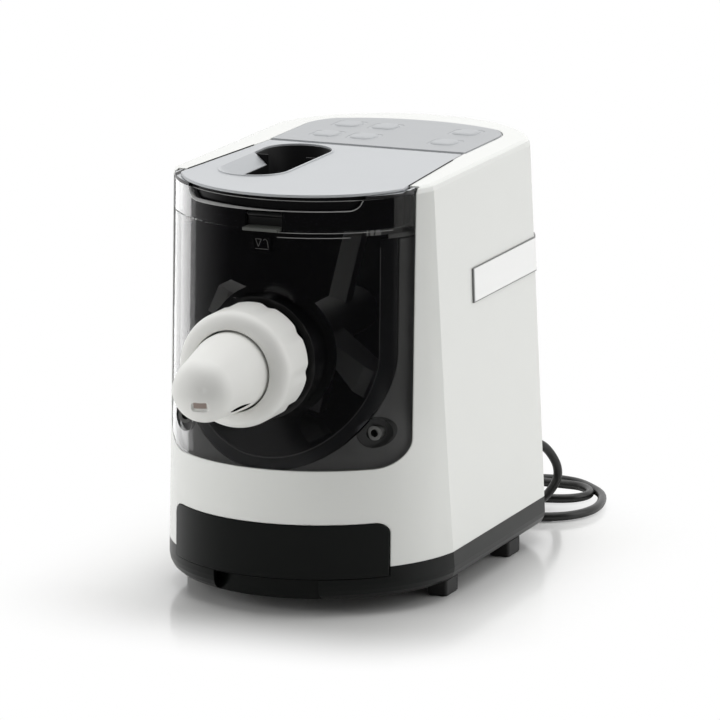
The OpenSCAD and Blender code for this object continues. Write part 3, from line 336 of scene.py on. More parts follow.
def make_finishes(look):
    """Makes every finish and puts the solids' own finishes on them."""
    shell, nozzle, silver = (tuple(c) for c in (look.shell_colour, look.nozzle_colour, look.lid_colour))
    panel, key = (tuple(c * share for c in silver) for share in (0.79, 0.88))
    satin = dict(grain=0.0005, depth=0.000008, edge=0.0007, Metallic=0.15)
    for finish, name, colour, rough, more in (
            ("shell_white", "shell_white_gloss", shell, 0.24,
             dict(grain=0.0035, depth=0.000012, tone=0.015, edge=0.0012, smudge=0.04,
                  Coat_Weight=0.25, Coat_Roughness=0.08)),
            ("band_white", "band_polished_white", (0.97, 0.975, 0.96), 0.1,
             dict(grain=0.004, depth=0.000006, tone=0.01, edge=0.0006,
                  Coat_Weight=1.0, Coat_IOR=1.9, Coat_Roughness=0.04)),
            ("nozzle_white", "nozzle_satin_white", nozzle, 0.42,
             dict(grain=0.0007, depth=0.000012, tone=0.025, edge=0.0009)),
            ("lid_silver", "lid_satin_silver", silver, 0.36, satin),
            ("panel_silver", "panel_satin_silver", panel, 0.34, satin),
            ("key_silver", "key_soft_silver", key, 0.4, dict(grain=0.0005, depth=0.000008, edge=0.0012)),
            ("base_black", "base_satin_black", (0.0025, 0.0035, 0.003), 0.3,
             dict(depth=0.000018, tone=0.2, edge=0.0008, Specular_IOR_Level=0.16)),
            # Painted highlight: light grey on the fine beads so that they read as highlight lines; their
            # gloss also shows the lamps.
            ("lip_gloss_and_painted_highlight", "lip_polished_grey", (0.34, 0.34, 0.335), 0.12,
             dict(grain=0.004, depth=0.000004, tone=0.1, edge=0.0002)),
            # Painted shade: dark grey for the strips round the rear band.
            ("band_shade_grey", "edging_dark_grey", (0.2, 0.205, 0.2), 0.4, dict(edge=0.0002)),
            ("rib_grey", "rib_pale_grey", (0.13, 0.13, 0.125), 0.3, dict(edge=0.0001)),
            ("chute_black", "chute_matt_black", (0.004, 0.004, 0.0045), 0.55,
             dict(grain=0.0008, tone=0.2, edge=0.0006, Specular_IOR_Level=0.15)),
            ("inner_black", "collar_gloss_black", (0.003, 0.003, 0.0034), 0.2,
             dict(grain=0.003, depth=0.000008, tone=0.2, edge=0.0006, Specular_IOR_Level=0.3)),
            ("chamber_clear", "chamber_tinted", (0.006, 0.006, 0.008), 0.12,
             dict(grain=0.004, depth=0.000006, tone=0.1, Alpha=0.85)),
            ("paddle_white", "paddle_white", (0.86, 0.86, 0.83), 0.35, dict(grain=0.0008, edge=0.0008)),
            ("rubber", "foot_rubber", (0.014, 0.014, 0.014), 0.62,
             dict(grain=0.0004, depth=0.00003, tone=0.25, edge=0.0006, smudge=0.1)),
            ("lead_black", "lead_black_vinyl", (0.012, 0.012, 0.011), 0.34,
             dict(grain=0.0008, tone=0.2, edge=0.0003, smudge=0.12)),
            ("gasket_black", "gasket_black_silicone", (0.008, 0.008, 0.012), 0.45,
             dict(grain=0.0005, tone=0.1)),
            ("seal_grey", "silicone_seal", (0.5, 0.5, 0.48), 0.55, dict(grain=0.0005, tone=0.05)),
            ("works_grey", "works_grey_plastic", (0.16, 0.165, 0.17), 0.48, {}),
            ("die_resin", "die_resin", (0.62, 0.61, 0.56), 0.4, {}),
            ("gear_resin", "gear_resin", (0.72, 0.71, 0.66), 0.38, {}),
            ("board_green", "circuit_board", (0.02, 0.11, 0.045), 0.35,
             dict(grain=0.0015, depth=0.00002, tone=0.3))):
        FINISHES[finish] = moulded(name, colour, rough, **more)
    for finish, name, colour, rough, stretch in (
            ("stud_steel", "stud_dark_steel", (0.17, 0.17, 0.165), 0.4, (1, 0.05, 1)),
            ("steel", "brushed_steel", (0.62, 0.62, 0.61), 0.26, (1, 0.05, 1)),
            ("nickel", "pin_nickel", (0.66, 0.64, 0.58), 0.2, (0.08, 1, 1)),
            ("zinc", "zinc_plate", (0.52, 0.53, 0.54), 0.36, (1, 1, 1)),
            ("brass", "sintered_gear", (0.45, 0.44, 0.41), 0.42, (1, 1, 1))):
        FINISHES[finish] = cast_metal(name, colour, rough, stretch)
    FINISHES["hood_white"] = hood_white_with_painted_mark_shade("hood_satin_white", nozzle)
    FINISHES["latch_grey"] = latch_with_painted_lit_shelf("latch_black_and_grey")
    FINISHES["corner_black"] = capped_corner("corner_black_and_silver", silver)
    # The greyer ends of the panel and the skirt are painted light.
    FINISHES["smoke"] = smoked("smoked_clear_panel", look.smoke_density, (0.02, 0.02, 0.02))
    FINISHES["skirt_smoke"] = smoked("smoked_clear_skirt", look.smoke_density + 0.15, (0.07, 0.07, 0.068))
    FINISHES["bezel_grey"] = bezel_with_painted_pocket_shade("bezel_satin_grey")
    for finish, nodes in SOLIDS.items():
        for node in nodes.split():
            dress(NODES[node], FINISHES[finish])


KEYS = ("rear_left", "rear_middle", "rear_right", "front_left", "front_middle", "front_right")
SOLIDS = {
    "shell_white": "housing_shell chamber_surround", "band_white": "rear_band",
    "base_black": "base_tray drawer_front", "rubber": "feet cord_gland",
    "zinc": "foot_screws gearbox_screws motor_can",
    "works_grey": "storage_drawer drawer_bay key_switches bulkhead gearbox_case gearbox_cover",
    "bezel_grey": "front_bezel", "stud_steel": "locating_studs", "smoke": "front_panel",
    "gasket_black": "chamber_gasket", "chamber_clear": "mixing_chamber",
    "seal_grey": "shaft_seal die_seal lid_seal", "paddle_white": "mixing_paddle auger_screw",
    "inner_black": "extruder_head lid_frame hinge_lugs lid_switch cooling_fan",
    "die_resin": "shaping_die", "nozzle_white": "locking_ring nozzle_hood", "lid_silver": "lid_plate",
    "chute_black": "hopper_chute", "skirt_smoke": "lid_skirt", "latch_grey": "lid_latch",
    "steel": "latch_pin hinge_pins output_shaft idler_shaft rotor_shaft",
    "panel_silver": "control_panel", "key_silver": " ".join("key_" + key for key in KEYS),
    "board_green": "control_board power_board", "gear_resin": "output_gear idler_gear",
    "brass": "motor_pinion", "lead_black": "cord cord_coil plug",
}


# ---- pieces ----

def dress(obj, finish):
    """Puts one finish on every slot of a piece."""
    obj.data.materials.clear()
    obj.data.materials.append(finish.material)


def piece(name, mesh_maker, finish, body="housing", smooth=None, inner=None):
    """A new mesh piece that rides on a body. mesh_maker fills a bmesh, and inner is a second finish."""
    bm = bmesh.new()
    mesh_maker(bm)
    bmesh.ops.recalc_face_normals(bm, faces=bm.faces)
    mesh = bpy.data.meshes.new(name)
    bm.to_mesh(mesh)
    bm.free()
    obj = bpy.data.objects.new(name, mesh)
    bpy.context.scene.collection.objects.link(obj)
    if smooth is not None:
        mesh.shade_smooth()
        mesh.set_sharp_from_angle(angle=math.radians(smooth))
    for each in (finish, inner):
        if each:
            mesh.materials.append(FINISHES[each].material)
    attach(obj, body)
    return obj


def swept(bm, path, radii, sides=16):
    """A round tube along a path, its frame carried along without twist.

    radii is one number, or one for each point.
    """
    points = [Vector(p) for p in path]
    if not hasattr(radii, "__len__"):
        radii = [radii] * len(points)
    along = [(points[min(i + 1, len(points) - 1)] - points[max(i - 1, 0)]).normalized()
             for i in range(len(points))]
    across = along[0].orthogonal().normalized()
    rings = []
    for point, t, r in zip(points, along, radii):
        across = (across - t * across.dot(t)).normalized()
        other = t.cross(across)
        rings.append([bm.verts.new(point + (across * math.cos(a) + other * math.sin(a)) * r)
                      for a in (2 * math.pi * k / sides for k in range(sides))])
    for low, high in zip(rings, rings[1:]):
        for k in range(sides):
            bm.faces.new((low[k], low[(k + 1) % sides], high[(k + 1) % sides], high[k]))
    bm.faces.new(list(reversed(rings[0])))
    bm.faces.new(rings[-1])


def curve_through(points, steps):
    """A smooth curve through the points, with that many steps between two."""
    points = [Vector(p) for p in points]
    out = []
    for i in range(len(points) - 1):
        a, b = points[max(i - 1, 0)], points[i]
        c, d = points[i + 1], points[min(i + 2, len(points) - 1)]
        for k in range(steps):
            t = k / steps
            out.append(0.5 * (2 * b + (c - a) * t + (2 * a - 5 * b + 4 * c - d) * t * t
                              + (3 * b - a - 3 * c + d) * t ** 3))
    return out + [points[-1]]


# ---- outer form of the machine, in millimetres ----

FRONT_R, FRONT_CY, FRONT_LEAN = 104.5, -5.5, math.tan(math.radians(0.97))
REAR_R, REAR_CY, REAR_LEAN = 112.5, 110.5, math.tan(math.radians(2.58))
SIDE_W, SIDE_LEAN = 104.0, math.tan(math.radians(1.88))
AXIS_Z, SPLIT_Z, CHAMBER_R = 178.0, 263.0, 70.3
STUD_X, STUD_Z, POCKET_R = 69.0, 125.0, 10.5


def front_at(x, z, sunk=0.0):
    r = FRONT_R - sunk - FRONT_LEAN * z
    return FRONT_CY - math.sqrt(r * r - x * x)


def rear_at(x, z, sunk=0.0):
    r = REAR_R - sunk - REAR_LEAN * z
    return REAR_CY + math.sqrt(r * r - x * x)


def side_at(z):
    return SIDE_W - SIDE_LEAN * z


def on_front(x, z, proud=0.0):
    """A point on the front wall in metres, standing proud of it."""
    return Vector((x, front_at(x, z, -proud), z)) * MM


def joined(bm, rings, ends=True):
    """A skin over rings that all have as many points. The ends are closed with flat faces."""
    made = [[bm.verts.new(Vector(p) * MM) for p in ring] for ring in rings]
    count = len(made[0])
    for low, high in zip(made, made[1:]):
        for k in range(count):
            n = (k + 1) % count
            bm.faces.new((low[k], low[n], high[n], high[k]))
    if ends:
        bm.faces.new(list(reversed(made[0])))
        bm.faces.new(made[-1])


def rounded(w, l, r, steps=6):
    """Outline of a rectangle with round corners."""
    out = []
    for sx, sy, start in ((1, 1, 0), (-1, 1, 90), (-1, -1, 180), (1, -1, 270)):
        for k in range(steps + 1):
            a = math.radians(start + 90 * k / steps)
            out.append((sx * (w / 2 - r) + r * math.cos(a), sy * (l / 2 - r) + r * math.sin(a)))
    return out


def oval(w, h, power, count=32):
    """A rounded cross-section between an ellipse (power 2) and a rectangle."""
    out = []
    for k in range(count):
        a = 2 * math.pi * k / count
        c, s = math.cos(a), math.sin(a)
        out.append((math.copysign(abs(c) ** (2 / power), c) * w / 2,
                    math.copysign(abs(s) ** (2 / power), s) * h / 2))
    return out


# ---- nozzle hood and locking ring ----

HOOD_R, HOOD_Y, HOOD_WALL = 26.4, -161.9, 2.2
TIP_R, TIP_Y, TIP_Z = 21.5, -201.45, 174.5
HOOD_BASE = -146.9
MOUTH_ANGLE, MOUTH_FROM, MOUTH_TO, MOUTH_HALF = 132.0, -199.0, -171.5, 2.4
RING_R, RING_BACK, RING_FRONT, RING_ROLL, RING_HOLE = 39.6, -121.9, -150.5, 10.0, 27.7
FLUTES, FLUTE_START, FLUTE_DEPTH, FLUTE_HALF = 9, 16.8, 1.5, 8.5
MARK_WAY, MARK_W, MARK_H, MARK_CORNER, MARK_DEPTH = (13.3, 21), 11.4, 7, 2.4, 1.6
DIMPLE_WAY, DIMPLE_R, DIMPLE_DEPTH = (18.7, -10.2), 3.6, 0.6


def hood_profile(sunk, rows):
    """Places along the hood from its base to its tip: distance along the axis and radius."""
    span = math.hypot(TIP_Y - HOOD_Y, TIP_Z - AXIS_Z)
    tilt = math.asin((HOOD_R - TIP_R) / span)
    line = [((HOOD_Y - HOOD_BASE) * (1 - k / 9), HOOD_R - sunk) for k in range(9)]
    line += [((HOOD_R - sunk) * math.sin(tilt * k / 4), (HOOD_R - sunk) * math.cos(tilt * k / 4))
             for k in range(5)]
    near, far = line[-1], (span + (TIP_R - sunk) * math.sin(tilt), (TIP_R - sunk) * math.cos(tilt))
    line += [(near[0] + (far[0] - near[0]) * k / 29, near[1] + (far[1] - near[1]) * k / 29)
             for k in range(1, 29)]
    for k in range(rows):
        a = tilt + (math.pi / 2 - tilt) * k / rows
        line.append((span + (TIP_R - sunk) * math.sin(a), (TIP_R - sunk) * math.cos(a)))
    return line, span + TIP_R - sunk


def smooth_step(low, high, value):
    t = min(1.0, max(0.0, (value - low) / (high - low)))
    return t * t * (3 - 2 * t)


def tip_frame(side, low):
    """Axes of a mark on the tip: across, up and outwards."""
    s, l = math.radians(side), math.radians(low)
    return (Vector((math.cos(s), math.sin(s), 0)),
            Vector((math.sin(l) * math.sin(s), -math.sin(l) * math.cos(s), math.cos(l))),
            Vector((math.cos(l) * math.sin(s), -math.cos(l) * math.cos(s), -math.sin(l))))


def finger_marks(point):
    """How deep the marks on the tip are at a point."""
    out = point - Vector((0, TIP_Y, TIP_Z))
    deep = 0.0
    u, v, w = (out.dot(axis) for axis in tip_frame(*MARK_WAY))
    if w > 0:
        qx, qy = abs(u) - (MARK_W / 2 - MARK_CORNER), abs(v) - (MARK_H / 2 - MARK_CORNER)
        edge = math.hypot(max(qx, 0), max(qy, 0)) + min(max(qx, qy), 0) - MARK_CORNER
        deep = MARK_DEPTH * (1 - smooth_step(-0.6, 0.25, edge))
    u, v, w = (out.dot(axis) for axis in tip_frame(*DIMPLE_WAY))
    if w > 0:
        deep = max(deep, DIMPLE_DEPTH * (1 - smooth_step(0.0, DIMPLE_R, math.hypot(u, v))))
    return deep


def mouth_half(along):
    """Half the mouth's width at a distance along the hood's axis, as an angle in degrees."""
    y = HOOD_Y - along
    if not MOUTH_FROM < y < MOUTH_TO:
        return None
    t = (y - MOUTH_FROM) / (MOUTH_TO - MOUTH_FROM)
    return math.degrees(MOUTH_HALF * math.sin(math.pi * t ** 0.75) / 24) + 0.05


def hood_shell(bm):
    """Domed cap with an inner wall, finger marks and a long narrow mouth low on its side. Its inside faces
    and the mouth's walls take the second finish, black: painted shade inside the white cap.
    """
    columns, rows, reach = 216, 64, 8
    step, middle = 360 / columns, round(MOUTH_ANGLE / 360 * columns)
    along = Vector((0, TIP_Y - HOOD_Y, TIP_Z - AXIS_Z)).normalized()
    up = Vector((0, along.z, -along.y))
    start, tip_at = Vector((0, HOOD_Y, AXIS_Z)), Vector((0, TIP_Y, TIP_Z))
    skins, open_rows = [], set()
    halves = [mouth_half(at) for at, _ in hood_profile(0.0, rows)[0]]
    for sunk in (0.0, HOOD_WALL):
        line, pole = hood_profile(sunk, rows)
        skin = []
        for i, (at, r) in enumerate(line):
            half, ring = halves[i], []
            for k in range(columns):
                away = k - middle
                turn = abs(away) * step
                if half is not None and abs(away) <= reach:
                    turn = half * turn / step if abs(away) <= 1 else \
                        half + (turn - step) * (reach * step - half) / ((reach - 1) * step)
                a = math.radians(middle * step + math.copysign(turn, away))
                if at < 0:
                    point = start + Vector((math.sin(a) * r, -at, math.cos(a) * r))
                else:
                    point = start + along * at
                    point += (Vector((1, 0, 0)) * math.sin(a) + up * math.cos(a)) * r
                if sunk == 0.0 and at > 25:
                    point = point + (tip_at - point).normalized() * finger_marks(point)
                ring.append(bm.verts.new(point * MM))
            if half is not None:
                open_rows.add(i)
            skin.append(ring)
        tip = start + along * pole
        tip -= along * (finger_marks(tip) if sunk == 0.0 else 0)
        skins.append((skin, bm.verts.new(tip * MM)))
    gap = {(i, k) for i in open_rows if i + 1 in open_rows for k in (middle - 1, middle)}
    for skin, tip in skins:
        for i, (low, high) in enumerate(zip(skin, skin[1:])):
            for k in range(columns):
                if (i, k) not in gap:
                    n = (k + 1) % columns
                    bm.faces.new((low[k], low[n], high[n], high[k]))
        for k in range(columns):
            bm.faces.new((skin[-1][k], skin[-1][(k + 1) % columns], tip))
    # Painted shade: the inside faces and the mouth's walls get the black second finish, standing in for
    # the shadow inside the cap.
    outer, inner = skins[0][0], skins[1][0]
    inside = {v for ring in inner for v in ring} | {skins[1][1]}
    for face in bm.faces:
        face.material_index = int(all(v in inside for v in face.verts))
    rim = [((0, k), (0, (k + 1) % columns)) for k in range(columns)]
    for i, k in gap:
        for other, a, b in (((i - 1, k), (i, k), (i, k + 1)),
                            ((i + 1, k), (i + 1, k), (i + 1, k + 1)),
                            ((i, k - 1), (i, k), (i + 1, k)),
                            ((i, k + 1), (i, k + 1), (i + 1, k + 1))):
            if other not in gap:
                rim.append((a, b))
    for (i, k), (j, n) in rim:
        wall = bm.faces.new((outer[i][k], outer[j][n], inner[j][n], inner[i][k]))
        wall.material_index = int(i > 0)


def ring_shell(bm):
    """Locking ring with a rolled front, shallow finger flutes that fade forwards, and its bore."""
    columns = 288
    roll = [(RING_R - RING_ROLL + RING_ROLL * math.cos(math.radians(t)),
             RING_FRONT - RING_ROLL * math.sin(math.radians(t))) for t in range(0, 100, 6)]
    line = [(RING_R - 0.9, RING_BACK), (RING_R - 0.25, RING_BACK - 0.25), (RING_R, RING_BACK - 0.9)]
    line += [(RING_R, RING_BACK - 0.9 + (RING_FRONT - RING_BACK + 0.9) * k / 12) for k in range(1, 12)]
    line += roll + [(RING_HOLE, RING_FRONT - RING_ROLL + 0.6), (RING_HOLE, -146.7), (34.2, -146.7),
                    (34.2, RING_BACK)]
    rings = []
    for r, y in line:
        ring = []
        for k in range(columns):
            turn = 360 * k / columns
            near = (turn - FLUTE_START + 180 / FLUTES) % (360 / FLUTES) - 180 / FLUTES
            deep = FLUTE_DEPTH * (1 - smooth_step(0, FLUTE_HALF, abs(near)))
            deep *= smooth_step(RING_FRONT - 4, RING_BACK - 9, y) if r > 36 else 0
            a = math.radians(turn)
            ring.append(((r - deep) * math.sin(a), y, AXIS_Z + (r - deep) * math.cos(a)))
        rings.append(ring)
    rings.append(rings[0])
    joined(bm, rings, ends=False)
    bmesh.ops.remove_doubles(bm, verts=bm.verts, dist=1e-7)


class PASTA_OT_nozzle(bpy.types.Operator):
    """Domed nozzle hood with its finger marks and mouth, and the fluted locking ring"""
    bl_idname = "pasta.nozzle"
    bl_label = "Nozzle"

    def execute(self, context):
        # The hood's inside takes the black inner finish, which is painted shade.
        hood = piece("domed_hood", hood_shell, "hood_white", "hood", 45, "inner_black")
        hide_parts("nozzle_hood")
        ring = piece("fluted_ring", ring_shell, "nozzle_white", "ring", 45)
        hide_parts("locking_ring")
        return {"FINISHED"}


# ---- keys ----

KEY_W, KEY_L, KEY_CORNER, KEY_TOP, KEY_RISE = 21.4, 22.9, 4.8, 288.3, 1.25
PILLOW_W, PILLOW_L, FLANGE, STEM_R = 20.4, 21.8, 0.9, 2.4


def soft_key(bm, x, y):
    """A key with an oval pillow on a flush rim, a skirt, a flange under the panel and a stem."""
    outline, pillow = rounded(KEY_W, KEY_L, KEY_CORNER), []
    for px, py in outline:
        a = math.atan2(py / 11.2, px / 10.5)
        pillow.append((PILLOW_W / 2 * math.cos(a), PILLOW_L / 2 * math.sin(a)))
    rings = [[(x + px * (1 + grow / 10.5), y + py * (1 + grow / 11.2), z) for px, py in outline]
             for grow, z in ((FLANGE, 281.0), (FLANGE, 282.6), (0.0, 282.6), (0.0, KEY_TOP))]
    for k in range(16):
        share = 1 - (k / 16) ** 1.4
        rise = KEY_TOP + KEY_RISE * (1 - share ** 6) ** 0.55
        rings.append([(x + px * share, y + py * share, rise) for px, py in pillow])
    joined(bm, rings)
    swept(bm, [(x * MM, y * MM, z * MM) for z in (273.5, 281.2)], STEM_R * MM, 20)


class PASTA_OT_keys(bpy.types.Operator):
    """Six soft keys in the control panel"""
    bl_idname = "pasta.keys"
    bl_label = "Keys"

    def execute(self, context):
        for name in KEYS:
            low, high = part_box("key_" + name)
            x, y = ((low[i] + high[i]) / 2 / MM for i in (0, 1))
            key = piece("soft_key_" + name, lambda bm: soft_key(bm, x, y), "key_silver",
                        "key_" + name, 50)
            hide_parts("key_" + name)
        return {"FINISHED"}


# ---- lid and band trims ----

def dip_edge():
    """The lid skirt's upper edge: level under the plate, rising in round corners at both ends."""
    level, corner, flat_to, highest = 276.4, 8, 54.5, 283.2
    path = []
    for k in range(-40, 41):
        x = k * 1.5625
        past = min(max(0.0, abs(x) - flat_to), corner)
        z = level + corner - math.sqrt(corner ** 2 - past ** 2)
        path.append(on_front(x, min(z, highest), -0.35))
    return path


def skirt_lip(bm):
    """A light grey bead along the skirt's upper edge, thicker towards its left end: partly its own gloss,
    partly a painted highlight line, widest where the edge's reflection is brightest.
    """
    edge = dip_edge()
    swept(bm, edge, [(0.45 + 0.85 * smooth_step(0.02, -0.05, p.x)) * MM for p in edge], 10)


def frame_bead(bm):
    """A fine light grey bead on the lid's frame: partly its own gloss, partly a painted highlight line
    under the plate.
    """
    swept(bm, [on_front(x * 1.6, 283.0, -2.75) for x in range(-45, 46)], 0.32 * MM, 10)


CAP_FROM, CAP_WIDE, CAP_BACK, CAP_FOOT, CAP_ROUND = 64, 23.1, -46.0, 283.5, 2.5


def corner_cap(bm, side):
    """Corner of the lid beside the plate, from the skirt up, its outer corner rounded."""
    columns, rings = 14, []
    for k in range(columns + 1):
        x = CAP_FROM + CAP_WIDE * k / columns
        top = 285.9 if x < 82.4 else 287.3
        if x > 84.6:
            top -= CAP_ROUND - math.sqrt(max(0.0, CAP_ROUND ** 2 - (x - 84.6) ** 2))
        y = front_at(x, 284.5, 0.15)
        rings.append([(side * x, y, CAP_FOOT), (side * x, y, top - 0.5), (side * x, y + 0.5, top),
                      (side * x, CAP_BACK, top), (side * x, CAP_BACK, CAP_FOOT)])
    joined(bm, rings)


BAND_Z, BAND_H, BAND_Y = 195.7, 23.0, 28.4


def band_path(z):
    """Places along the band at a height, from its right end round the rear to its left end."""
    path = []
    half, reach = side_at(z), REAR_R - REAR_LEAN * z
    corner = math.asin(half / reach)
    for k in range(13):
        path.append((Vector((half, BAND_Y + (REAR_CY + reach * math.cos(corner) - BAND_Y) * k / 12, z)),
                     Vector((1, 0, SIDE_LEAN))))
    for k in range(1, 48):
        a = corner * (1 - 2 * k / 48)
        path.append((Vector((reach * math.sin(a), REAR_CY + reach * math.cos(a), z)),
                     Vector((math.sin(a), math.cos(a), REAR_LEAN))))
    return path + [(Vector((-p.x, p.y, p.z)), Vector((-n.x, n.y, n.z)))
                   for p, n in reversed(path[:13])]


def band_edging(bm):
    """Dark strips round the band, a little prouder than it: two long ones and one at each end. They are
    painted shade, standing in for the shadow in the groove round the band.
    """
    def strip(places):
        joined(bm, [[p + n.normalized() * out + shift for out, shift in corners]
                    for p, n, corners in places])
    for z, lift in ((BAND_Z, -0.4), (BAND_Z + BAND_H, 0.4)):
        flat = [(out, Vector((0, 0, dz)))
                for out, dz in ((0.0, -0.27), (0.0, 0.27), (1.1, 0.27), (1.1, -0.27))]
        strip([(p, n, flat) for p, n in band_path(z + lift * 0.3)])
    for side in (1, -1):
        places = []
        for k in range(8):
            z = BAND_Z - 0.4 + (BAND_H + 0.8) * k / 7
            flat = [(out, Vector((0, dy, 0)))
                    for out, dy in ((0.0, -1.5), (0.0, 0.5), (1.15, 0.5), (1.15, -1.5))]
            places.append((Vector((side * side_at(z), BAND_Y, z)), Vector((side, 0, SIDE_LEAN)), flat))
        strip(places)


def panel_ledges(bm):
    """Two fine light grey ledges along the front panel's upper edge, right of the latch: partly their own
    gloss, partly painted highlight lines.
    """
    for z, last in ((SPLIT_Z - 1.1, 78), (SPLIT_Z - 4.3, 56)):
        swept(bm, [on_front(10 + (last - 10) * k / 30, z, 0.05) for k in range(31)], 0.25 * MM, 8)


def chamber_bead(bm):
    """A fine polished edge round the mouth of the mixing chamber, light grey: partly its own gloss, partly
    a painted highlight line.
    """
    line = [(CHAMBER_R, z) for z in range(250, 178, -4)]
    line += [(CHAMBER_R * math.cos(a), AXIS_Z - CHAMBER_R * math.sin(a))
             for a in (math.pi * k / 60 for k in range(61))]
    line += [(-CHAMBER_R, z) for z in range(182, 251, 4)]
    swept(bm, [on_front(x, z, -4.0) for x, z in line], 0.38 * MM, 8)


def edge_gap_shade(bm):
    """Black strips that fill the gap between the lid plate's sides and the shell: painted shade, standing
    in for the shadow in that gap.
    """
    for side in (1, -1):
        swept(bm, [(side * (81.2 - (y + 56.5) * 0.0718) * MM, y * MM, 288.12 * MM)
                   for y in range(-46, 56, 8)], 0.42 * MM, 12)


def catch_ribs(bm):
    """Raised ribs inside the catch: a triangle and a bow."""
    y = front_at(0, SPLIT_Z) - 1.55
    triangle = [(-4.6, 257.0), (-0.4, 257.0), (-2.6, 251.8), (-4.6, 257.0)]
    bow = [(1.0, 256.4), (2.2, 257.2), (3.6, 256.4), (4.3, 254.2), (4.5, 251.4)]
    for line in (triangle, bow, [(-4.8, 250.4), (4.6, 250.4)]):
        for (x, z), (u, w) in zip(line, line[1:]):
            swept(bm, [(x * MM, y * MM, z * MM), (u * MM, y * MM, w * MM)], 0.2 * MM, 8)


class PASTA_OT_trims(bpy.types.Operator):
    """Beads on the lid that are painted highlight lines, corner caps on the lid, black strips of painted
    shade in the lid's edge gaps and the dark edging of the rear band, which is painted shade
    """
    bl_idname = "pasta.trims"
    bl_label = "Trims"

    def execute(self, context):
        for name, shape, finish, slot, body, smooth in (
                ("skirt_lip", skirt_lip, "lip_gloss_and_painted_highlight", "smoke_clear", "lid", 60),
                ("frame_bead", frame_bead, "lip_gloss_and_painted_highlight", "lid_black", "lid", 60),
                ("panel_ledges", panel_ledges, "lip_gloss_and_painted_highlight", "smoke_clear", "front", 60),
                ("chamber_bead", chamber_bead, "lip_gloss_and_painted_highlight", "bezel_grey", "housing", 60),
                ("lid_edge_seals", edge_gap_shade, "chute_black", "lid_black", "lid", 60),
                ("catch_ribs", catch_ribs, "rib_grey", "latch_grey", "front", 60),
                ("band_edging", band_edging, "band_shade_grey", "bezel_grey", "housing", 35)):
            piece(name, shape, finish, body, smooth)
        for side, name in ((-1, "left"), (1, "right")):
            piece("lid_corner_" + name, lambda bm: corner_cap(bm, side), "corner_black",
                  "lid", 35)
        return {"FINISHED"}


# ---- mains lead ----

LEAD_R = 3.2
ROUTE = [
    (60, 213, 54), (61, 223, 54), (63.5, 232.5, 51.5), (68, 241.5, 46.5), (72, 247.5, 39),
    (75, 251, 30), (75, 251, 21), (71, 246, 12), (65.5, 239.5, 6), (60, 232, 3.8),
    (57.5, 223, 3.5), (60, 214, 3.5), (67, 208, 3.5), (77, 206.5, 3.5), (88, 210, 3.5),
    (97.5, 218, 3.5), (104, 230, 3.5), (106.5, 246, 3.5), (103.5, 266, 3.5), (95.5, 286, 3.5),
    (81, 303, 3.5), (67, 314, 3.5), (50, 317.5, 3.5), (33, 313, 3.5), (20, 302, 3.5),
    (14, 286, 3.5), (19, 270, 3.5), (32, 260.5, 3.5), (50, 258.5, 3.5), (67, 260.5, 3.5),
    (81, 267, 3.5), (87.5, 279, 3.5), (84.5, 292.5, 3.5), (73, 303, 3.5), (56, 305, 3.5),
    (34, 299.5, 5.5), (14, 292.5, 10.2), (-1, 289.5, 8), (-15, 289, 4.5), (-28, 289, 3.5)]
COIL_X, COIL_MID, COIL_TURNS = -30, 36, 3
COIL_Y = 289 + COIL_MID + 2.1 * LEAD_R + 0.05
PLUG_X, PLUG_Y, PLUG_H, PIN_OUT = COIL_X - 54, 289, 14, 9.5
EXIT_X, EXIT_Z = 60, 54


def climbed(turn):
    """How many layers up the coil is: flat for most of a turn, then a step up onto it."""
    layer = min(int(turn), COIL_TURNS - 1)
    if layer == COIL_TURNS - 1:
        return layer
    t = max(0.0, (turn - layer - 0.72) / 0.28)
    return layer + t * t * (3 - 2 * t)


def lead_path():
    """The lead's centreline in metres: the route, the coil's turns and the tail into the plug."""
    path = curve_through(ROUTE, 8)
    steps = 40
    for k in range(2, steps * COIL_TURNS - 1):
        turn = k / steps
        a = -math.pi / 2 - turn * 2 * math.pi
        near = min(turn, COIL_TURNS - turn)
        r = COIL_MID + 6.8 * max(0.0, 1 - near / 0.25) ** 2
        z = LEAD_R + 0.8 - 0.5 * max(0.0, 1 - turn / 0.15) + 2 * LEAD_R * 1.008 * climbed(turn)
        path.append(Vector((COIL_X + r * math.cos(a), COIL_Y + r * math.sin(a), z)))
    top = path[-1].z
    x0, x1 = COIL_X - 8, PLUG_X - 6
    for k in range(1, 10):
        t = k / 9
        x = x0 + (x1 - x0) * t
        ease = t * t * (3 - 2 * t)
        path.append(Vector((x, PLUG_Y, top + (PLUG_H / 2 + 0.1 - top) * ease)))
    return [p * MM for p in path]


TIE_TURN, TIE_WIDE, TIE_THICK = 0.36, 10.0, 0.6


def coil_tie(bm):
    """A flat tie round the coil's turns."""
    a = -math.pi / 2 - TIE_TURN * 2 * math.pi
    out, side = Vector((math.cos(a), math.sin(a), 0)), Vector((-math.sin(a), math.cos(a), 0))
    tall = 2 * LEAD_R * (1 + 1.008 * (COIL_TURNS - 1)) + 0.1
    centre = Vector((COIL_X, COIL_Y, LEAD_R + 0.8 + (tall - 2 * LEAD_R) / 2)) + out * COIL_MID
    rings = []
    for (u, v), (p, q) in zip(rounded(2 * LEAD_R + 0.1, tall, LEAD_R, 8),
                              rounded(2 * LEAD_R + 0.1 + 2 * TIE_THICK, tall + 2 * TIE_THICK,
                                      LEAD_R + TIE_THICK, 8)):
        rings.append([centre + out * u + Vector((0, 0, v)) - side * TIE_WIDE / 2,
                      centre + out * u + Vector((0, 0, v)) + side * TIE_WIDE / 2,
                      centre + out * p + Vector((0, 0, q)) + side * TIE_WIDE / 2,
                      centre + out * p + Vector((0, 0, q)) - side * TIE_WIDE / 2])
    joined(bm, rings + [rings[0]], ends=False)
    bmesh.ops.remove_doubles(bm, verts=bm.verts, dist=1e-7)


